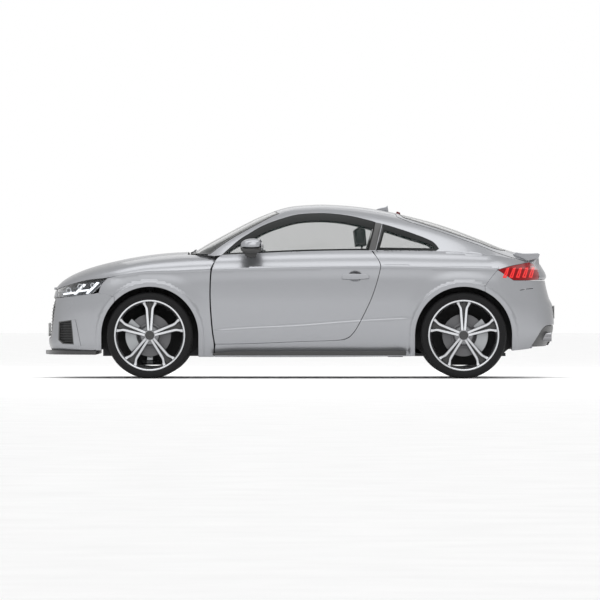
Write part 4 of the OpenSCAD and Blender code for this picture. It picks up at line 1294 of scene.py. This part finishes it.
class COUPE_OT_wheels(bpy.types.Operator):
    """Builds the four wheels: tyre, forked-spoke rim, hub and brake disc"""
    bl_idname = "coupe.wheels"
    bl_label = "Wheels"

    def rim(self, name, x):
        two = [dark_rim(), bright_rim()]
        w = TYRE_W / 2 - 10
        barrel = [(RIM_R, w), (RIM_R, w - 6), (276, w - 11), (268, w - 15), (264, w - 30), (263, -w + 20),
                  (270, -w + 8), (RIM_R, -w + 4), (RIM_R, -w), (266, -w), (258, -w + 12), (256, -w + 40), (256, 60),
                  (258, 84), (262, 98), (266, 108), (270, 114), (274, w)]
        lip = [1, 1] + [0] * (len(barrel) - 5) + [0, 1, 1]
        parts = [wheel_lathe("p", barrel, x, two, 128, slots=lip)]
        for k in range(5):
            a = math.radians(90 + 72 * k)
            for g in (-1, 1):
                p, f, index = spoke_arm(g * 11, g * 27)
                p = wheel_place(turned(p, a), x)
                parts.append(finish_hard(mesh_object("p", p, outward(p, f), two, slots=index), 28))
            web = np.array([(46, -8), (150, -16), (246, -24), (262, -26), (262, 26), (246, 24), (150, 16), (46, 8)])
            p, f = extrude(web, 64, 78, 1.5)
            p = wheel_place(turned(p, a), x)
            parts.append(finish_hard(mesh_object("p", p, outward(p, f), [black()]), 40))
            b = a + math.radians(36)
            bolt, f = extrude(circle(0, 0, 9.2, 6), 80, 92, 1.2)
            seat, g = extrude(circle(0, 0, 13.5, 28), 78, 83, 1.0)
            for q, h in ((bolt, f), (seat, g)):
                q = q + (56 * math.cos(b), 56 * math.sin(b), 0)
                q = wheel_place(q, x)
                parts.append(finish_hard(mesh_object("p", q, outward(q, h), two), 30))
        hub = [(77, 44), (78, 60), (76, 76), (71, 82), (44, 84), (41, 88), (38, 88), (36.5, 85), (1, 85), (1, 44)]
        parts.append(wheel_lathe("p", hub, x, two, 72, slots=[0] * 5 + [1, 0, 0, 0, 0]))
        cap = [(34.5, 80), (34.5, 89), (32.5, 91.5), (27, 92.5), (25, 91.2), (1, 93), (1, 80)]
        parts.append(wheel_lathe("p", cap, x, [black(), black()], 48))
        v = math.radians(54)
        stem = [(r * math.cos(v), r * math.sin(v), z) for r, z in ((258, 80), (250, 88), (242, 100))]
        parts.append(tube("p", wheel_place(stem, x), 4.2, [rubber(), rubber()], 10))
        return merge(name, parts)

    def disc(self, name, x):
        steel = [disc_steel()]
        parts = [wheel_lathe("p", [(168.5, s * 4), (168.5, s * 12), (167, s * 13), (99, s * 13), (97, s * 4)], x,
                             steel, 96) for s in (-1, 1)]
        parts.append(wheel_lathe("p", [(97, -12), (97, 12), (86, 15), (84, 36), (80, 39.5), (40, 39.5), (40, 34),
                                       (76, 33), (78, 12), (84, -12)], x, steel, 64))
        for k in range(40):
            vane, f = extrude([(98, -1.6), (167, -1.6), (167, 1.6), (98, 1.6)], -4.2, 4.2, 0.3)
            p = wheel_place(turned(vane, 2 * math.pi * k / 40), x)
            parts.append(mesh_object("p", p, outward(p, f), steel, smooth_all=False))
        return merge(name, parts)

    def execute(self, context):
        blocks = settings().tread_blocks
        for end, x in (("front", FRONT_AXLE), ("rear", REAR_AXLE)):
            for i, side in enumerate(("left", "right")):
                wheel = "%s_%s" % (end, side)
                tyre = wheel_lathe("tyre_rubber_" + wheel, tyre_profile(), x, [rubber()], blocks * 6,
                                   wave=tread(blocks), angle=35)
                rim = self.rim("rim_alloy_" + wheel, x)
                disc = self.disc("disc_steel_" + wheel, x)
                for obj, node in ((tyre, "tyre_"), (rim, "rim_"), (disc, "brake_disc_")):
                    if i:
                        flip(obj)
                    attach(obj, "wheel_" + wheel)
                    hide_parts(node + wheel)
        return {"FINISHED"}


# ---------------------------------------------------------------- trim
class COUPE_OT_trim(bpy.types.Operator):
    """Builds the mirrors, handles, skirts, wipers, aerial and scuttle"""
    bl_idname = "coupe.trim"
    bl_label = "Trim"

    def mirror(self, name):
        rows = []
        for k, y in enumerate(np.linspace(0, 1, 12)):
            grow = 1 - 0.42 * y ** 4
            ring = shift(smooth([(-86, -6), (-78, 30), (-40, 54), (20, 62), (76, 54), (88, 20), (84, -6), (0, -12)],
                                9, 60), 0) * grow
            rows.append(np.stack([ring[:, 0] - 385, np.full(len(ring), -852 - 110 * y), ring[:, 1] + 1049], 1))
        n = len(rows[0])
        points = np.concatenate(rows)
        faces = [tuple(range(n)), tuple(11 * n + i for i in range(n))]
        for i in range(11):
            for j in range(n):
                k = (j + 1) % n
                faces.append((i * n + j, i * n + k, (i + 1) * n + k, (i + 1) * n + j))
        cap = finish_hard(mesh_object(name, points, outward(points, faces), paint()), 50)
        low = smooth([(-84, -8), (86, -8), (80, -34), (54, -50), (-52, -50), (-78, -36)], 9, 60) + (-385, 1049)
        tray = side_slab(name + "_tray", low, -952, -856, black(), 12)
        foot = side_slab(name + "_foot", smooth([(-444, 1002), (-340, 1002), (-344, 966), (-390, 958), (-430, 972)],
                                                8), -868, -806, black(), 6)
        glass_face, f = extrude(circle(0, 0, 1, 40) * (44, 34), 0, 5, 1)
        p = np.stack([glass_face[:, 2] - 302, glass_face[:, 0] - 905, glass_face[:, 1] + 1052], 1)
        face = finish_hard(mesh_object(name + "_glass", p, outward(p, f), chrome()), 40)
        return [cap, tray, foot, face]

    def handle(self, name):
        bar = panel(name, [sheet("side", [smooth([(338, 792), (342, 818), (360, 826), (528, 822), (546, 812),
                                                  (546, 796), (440, 788)], 8)], spacing=12)], paint(), depth=11,
                    roll=4, sink=-12)
        return bar

    def execute(self, context):
        doors = ["door_left_body", "door_right_body"]
        pair("mirror", self.mirror, doors)
        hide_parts("door_mirror_left")
        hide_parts("door_mirror_right")
        pair("handle", self.handle, doors)
        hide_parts("door_handle_left")
        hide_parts("door_handle_right")

        def skirt(name):
            top = [(-690, 184), (842, 184), (842, 214), (790, 222), (640, 216), (0, 216), (-520, 214), (-690, 200)]
            return side_slab(name, top, -868, -800, black(), 5)

        pair("skirt", skirt, "chassis")
        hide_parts("side_skirts")
        wipers = []
        for y0, y1 in ((-560, 20), (20, 560)):
            path = []
            for t in np.linspace(0, 1, 14):
                y = y0 + (y1 - y0) * t
                x = -868 + 34 * t + 40 * (abs(y) / 560) ** 2
                path.append((x, y, float(roof_z(x)) - 58 * (abs(y) / 700) ** 3 + 9))
            wipers.append(tube("w", path, 4.5, rubber(), 8))
            wipers.append(tube("w", [(path[0][0] - 8, y0 + 60, path[0][2] - 4)] + path[4:8], 5.5, black(), 8))
        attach(merge("wipers", wipers), "chassis")
        scuttle = []
        y = np.linspace(-640, 640, 33)
        for k in range(5):
            x = -884 + k * 7 + 70 * (np.abs(y) / 640) ** 2.4
            z = 985 - 34 * (np.abs(y) / 640) ** 2.2 - k * 0.5
            scuttle.append(tube("s", np.stack([x, y, z], 1), 4.6, black(), 8))
        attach(merge("scuttle", scuttle), "chassis")
        fin = side_slab("aerial_fin", smooth([(604, 1346), (640, 1362), (690, 1373), (706, 1384), (714, 1334)], 8),
                        -13, 13, paint(), 5)
        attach(fin, "chassis")
        lamp = side_slab("high_brake_lamp", [(772, 1316), (780, 1334), (806, 1324), (806, 1300)], -150, 150,
                         material("brake_lens", (0.12, 0.002, 0.003), 0, 0.3, 0.0, 200, 0.1, edge=0.35), 3)
        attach(lamp, "tailgate_body")

        def washer(name):
            ring = panel(name, [sheet("side", [circle(-1838, 591, 30, 48)], spacing=8)], paint(), depth=5, roll=2,
                         sink=-1.5)
            return ring

        pair("washer_cover", washer, "chassis")
        return {"FINISHED"}


# ---------------------------------------------------------------- cabin
def cushion(name, outline, y, width, crown, seams=0):
    """A padded piece whose side view is the outline, crowned across its width"""
    loop = smooth(outline, 16, 50)
    rows, n = [], len(loop)
    middle = loop.mean(0)
    steps = np.linspace(-1, 1, 23)
    for s in steps:
        pull = 1 - 0.5 * np.abs(s) ** 9 * 0.5 - crown * s * s / 100
        ring = middle + (loop - middle) * (pull - (0.03 if seams and abs(abs(s) - 0.5) < 0.03 else 0))
        side = np.sign(s) * min(abs(s), 1) * width / 2 * (1 - 0.0 * abs(s))
        rows.append(np.stack([ring[:, 0], np.full(n, y + side), ring[:, 1]], 1))
    points = np.concatenate(rows)
    last = (len(rows) - 1) * n
    faces = [tuple(range(n)), tuple(last + i for i in range(n))]
    for i in range(len(rows) - 1):
        for j in range(n):
            k = (j + 1) % n
            faces.append((i * n + j, i * n + k, (i + 1) * n + k, (i + 1) * n + j))
    obj = finish_hard(mesh_object(name, points, outward(points, faces), leather()), 60)
    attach(obj, "chassis")
    return obj


class COUPE_OT_cabin(bpy.types.Operator):
    """Builds the seats, dashboard, steering wheel and linings"""
    bl_idname = "coupe.cabin"
    bl_label = "Cabin"

    def execute(self, context):
        first = None
        for side, y in (("left", -360), ("right", 360)):
            base = cushion("seat_base_" + side, [(-140, 345), (-148, 428), (-92, 466), (120, 446), (325, 418),
                                                 (390, 345)], y, 330, 5, 1)
            first = first or base
            back = cushion("seat_back_" + side, [(330, 432), (400, 700), (472, 970), (500, 1008), (560, 1004),
                                                 (580, 972), (520, 700), (420, 408)], y, 320, 5, 1)
            head = cushion("seat_head_" + side, [(446, 1052), (430, 1180), (470, 1208), (524, 1188), (536, 1060)], y,
                           240, 8)
            for g in (-1, 1):
                cushion("seat_edge_%s_%d" % (side, g + 1), [(-130, 350), (-138, 440), (-80, 486), (300, 456),
                        (352, 350)], y + g * 198, 66, 12)
                cushion("seat_wing_%s_%d" % (side, g + 1), [(318, 500), (380, 720), (440, 930), (500, 960),
                        (560, 930), (500, 700), (420, 470)], y + g * 188, 62, 12)
                posts = tube("seat_post_%s_%d" % (side, g + 1), [(508, y + g * 52, 990), (496, y + g * 52, 1075)],
                             6.5, chrome(), 12)
                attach(posts, "chassis")
            shell = side_slab("seat_shell_" + side, smooth([(420, 420), (530, 700), (578, 940), (588, 940),
                              (545, 700), (436, 410)], 14), y - 190, y + 190, black(), 3)
            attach(shell, "chassis")
            rails = [side_slab("r", [(-95, 212), (375, 212), (375, 336), (-95, 336)], y + g * 150 - 14,
                               y + g * 150 + 14, metal(), 4) for g in (-1, 1)]
            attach(merge("seat_rails_" + side, rails), "chassis")
        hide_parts("front_seats")
        rear = None
        for side, y in (("left", -290), ("right", 290)):
            base = cushion("rear_base_" + side, [(645, 345), (642, 470), (700, 496), (955, 466), (960, 345)], y, 520,
                           5, 1)
            rear = rear or base
            cushion("rear_back_" + side, [(960, 440), (990, 700), (1012, 866), (1046, 872), (1046, 440)], y, 520, 5,
                    1)
        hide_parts("rear_seat")
        dash = smooth([(-738, 565), (-738, 920), (-560, 952), (-470, 944), (-376, 898), (-334, 822), (-402, 684),
                       (-560, 566)], 22, 50)
        board = side_slab("dash_body", dash, -698, 698, cabin(), 16)
        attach(board, "chassis")
        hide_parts("dashboard")
        hood = side_slab("instrument_hood", smooth([(-540, 940), (-400, 930), (-372, 905), (-380, 985), (-440, 1000),
                                                    (-520, 980)], 12), -500, -220, cabin(), 12)
        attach(hood, "chassis")
        screen = side_slab("centre_screen", [(-398, 850), (-346, 852), (-374, 968), (-398, 968)], -130, 130, black(),
                           3)
        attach(screen, "chassis")
        console = side_slab("centre_console", smooth([(-560, 330), (-560, 600), (-420, 640), (-320, 560),
                            (-120, 500), (330, 490), (350, 330)], 16, 40), -104, 104, cabin(), 12)
        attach(console, "chassis")
        self.steering()
        self.linings()
        return {"FINISHED"}

    def steering(self):
        centre = np.array([-214.0, -360.0, 850.0])
        tilt = math.radians(66)
        out = np.array([math.sin(tilt), 0, math.cos(tilt)])
        up = np.array([-math.cos(tilt), 0, math.sin(tilt)])
        across = np.array([0.0, 1.0, 0.0])

        def at(a, r, h=0.0):
            return centre + (across * math.cos(a) + up * math.sin(a)) * r + out * h

        ring = tube("steering_rim", [at(a, 176) for a in np.linspace(0, 2 * math.pi, 64, endpoint=False)], 13.5,
                    leather(), 14, closed=True)
        parts = [ring]
        for a in (0, math.pi, -math.pi / 2):
            parts.append(tube("s", [at(a, r, -6) for r in (40, 100, 168)], (17, 10, 9), leather(), 12))
        boss = []
        for r, h in ((58, -16), (60, 0), (52, 11), (26, 14), (1, 15)):
            boss.append([at(a, r, h) for a in np.linspace(0, 2 * math.pi, 32, endpoint=False)])
        points = np.concatenate(boss)
        faces = [tuple(range(32)), tuple(128 + i for i in range(32))]
        for i in range(4):
            for j in range(32):
                k = (j + 1) % 32
                faces.append((i * 32 + j, i * 32 + k, (i + 1) * 32 + k, (i + 1) * 32 + j))
        parts.append(finish_hard(mesh_object("s", points, outward(points, faces), leather()), 40))
        parts.append(tube("s", [centre - out * 110, centre - out * 17], 21, leather(), 20))
        wheel = merge("steering_wheel_rim", parts)
        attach(wheel, "chassis")
        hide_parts("steering_wheel")

    def linings(self):
        lining = panel("headlining", [sheet("house", [cuts(ROOF, -30)], spacing=40)], cabin(), centre=True, depth=5,
                       roll=2, sink=19)
        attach(lining, "chassis")
        shelf = side_slab("parcel_shelf", [(1062, 868), (1330, 880), (1330, 892), (1062, 880)], -540, 540, cabin(), 3)
        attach(shelf, "chassis")


class COUPE_OT_structure(bpy.types.Operator):
    """Finishes the structure that stays as it was engineered"""
    bl_idname = "coupe.structure"
    bl_label = "Structure"

    def execute(self, context):
        floor = material("floor_coating", (0.045, 0.047, 0.05), 0.1, 0.62, 0.0, 70, 0.5, 0.4)
        castings = material("casting", (0.34, 0.35, 0.36), 0.85, 0.5, 0.0, 60, 0.4, 0.3)
        felt = material("arch_felt", (0.02, 0.02, 0.021), 0.0, 0.95, 0.0, 260, 0.6, 0.8)
        finishes = {"floor_pan": floor, "firewall": floor, "front_subframe": floor, "engine": castings,
                    "rear_axle": castings, "arch_liners": felt, "front_knuckle_left": castings,
                    "front_knuckle_right": castings}
        for node, finish in finishes.items():
            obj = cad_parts[node]
            for s in obj.material_slots:
                s.material = finish
        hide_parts("number_plates")

        # Dark felt plates behind each wheel: the arched top lines the wheel well, and the part carried down to 106 mm
        # is painted shade that closes the bright gap under the car.
        def liner_and_shade_wells(name):
            return [side_slab(name + end, np.concatenate([arch(axle, 382)[:120], [(axle - 382, 250), (axle - 215, 106), (axle + 215, 106),
                                                                        (axle + 382, 250)]]),
                              -y, -y + 5, felt, 1) for end, axle, y in (("_front", FRONT_AXLE, 481),
                                                                        ("_rear", REAR_AXLE, 594))]

        pair("wheel_well", liner_and_shade_wells, "chassis")
        return {"FINISHED"}


# ---------------------------------------------------------------- stage
class COUPE_OT_stage(bpy.types.Operator):
    """Sets the floor, the lights and the camera"""
    bl_idname = "coupe.stage"
    bl_label = "Stage"

    def execute(self, context):
        scene = bpy.context.scene
        white = material("floor_white", (0.98, 0.98, 0.98), 0, 0.7, 0.0, 3, 0.01)
        n, size = 40, 160.0
        points = [(x * size / n * 1000 - size * 500, y * size / n * 1000 - size * 500, 0.0)
                  for y in range(n + 1) for x in range(n + 1)]
        faces = [(i * (n + 1) + j, i * (n + 1) + j + 1, (i + 1) * (n + 1) + j + 1, (i + 1) * (n + 1) + j)
                 for i in range(n) for j in range(n)]
        floor = mesh_object("studio_floor", points, faces, white)
        world = bpy.data.worlds.new("studio")
        scene.world = world
        world.use_nodes = True
        world.node_tree.nodes["Background"].inputs["Color"].default_value = (1, 1, 1, 1)
        world.node_tree.nodes["Background"].inputs["Strength"].default_value = 1.0
        for name, place, aim, wide, tall, power in (
                ("key", (-1.0, -7.5, 6.0), (0, -0.6, 0.5), 9.0, 4.0, 200),
                ("top", (0.0, -0.5, 6.5), (0, 0, 0.8), 8.0, 5.0, 190),
                ("back", (1.5, 6.5, 4.5), (0, 0.6, 0.6), 8.0, 3.0, 90)):
            light = bpy.data.lights.new(name, "AREA")
            light.shape = "RECTANGLE"
            light.size, light.size_y, light.energy = wide, tall, power
            obj = bpy.data.objects.new(name, light)
            obj.location = place
            obj.rotation_euler = (Vector(aim) - Vector(place)).to_track_quat("-Z", "Y").to_euler()
            scene.collection.objects.link(obj)
        side, height = 0.35, 0.623
        camera = bpy.data.cameras.new("side_view")
        camera.sensor_width = 36
        camera.lens = 36 * settings().camera_distance / 4.8
        camera.clip_end = 200
        obj = bpy.data.objects.new("side_view", camera)
        obj.location = (0.002, -(settings().camera_distance + side), height)
        obj.rotation_euler = (math.radians(90), 0, 0)
        scene.collection.objects.link(obj)
        scene.camera = obj
        scene.view_settings.view_transform = "Standard"
        return {"FINISHED"}


class COUPE_PT_panel(bpy.types.Panel):
    """Sizes, colours and build steps of the coupe"""
    bl_idname = "COUPE_PT_panel"
    bl_label = "Fastback coupe"
    bl_space_type = "VIEW_3D"
    bl_region_type = "UI"
    bl_category = "Coupe"

    def draw(self, context):
        for key in CoupeSettings.__annotations__:
            self.layout.prop(context.scene.coupe, key)
        for step in STEPS:
            self.layout.operator(step.bl_idname)


STEPS = (COUPE_OT_sides, COUPE_OT_roof, COUPE_OT_bonnet, COUPE_OT_doors, COUPE_OT_front, COUPE_OT_rear,
         COUPE_OT_tailgate, COUPE_OT_glass, COUPE_OT_lamps, COUPE_OT_wheels, COUPE_OT_trim, COUPE_OT_cabin,
         COUPE_OT_structure, COUPE_OT_stage)
CLASSES = (CoupeSettings,) + STEPS + (COUPE_PT_panel,)


def register():
    for c in CLASSES:
        bpy.utils.register_class(c)
    bpy.types.Scene.coupe = PointerProperty(type=CoupeSettings)


def unregister():
    del bpy.types.Scene.coupe
    for c in reversed(CLASSES):
        bpy.utils.unregister_class(c)


def main():
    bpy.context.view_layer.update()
    register()
    for step in STEPS:
        group, name = step.bl_idname.split(".")
        getattr(getattr(bpy.ops, group), name)()


if __name__ == "__main__":
    main()
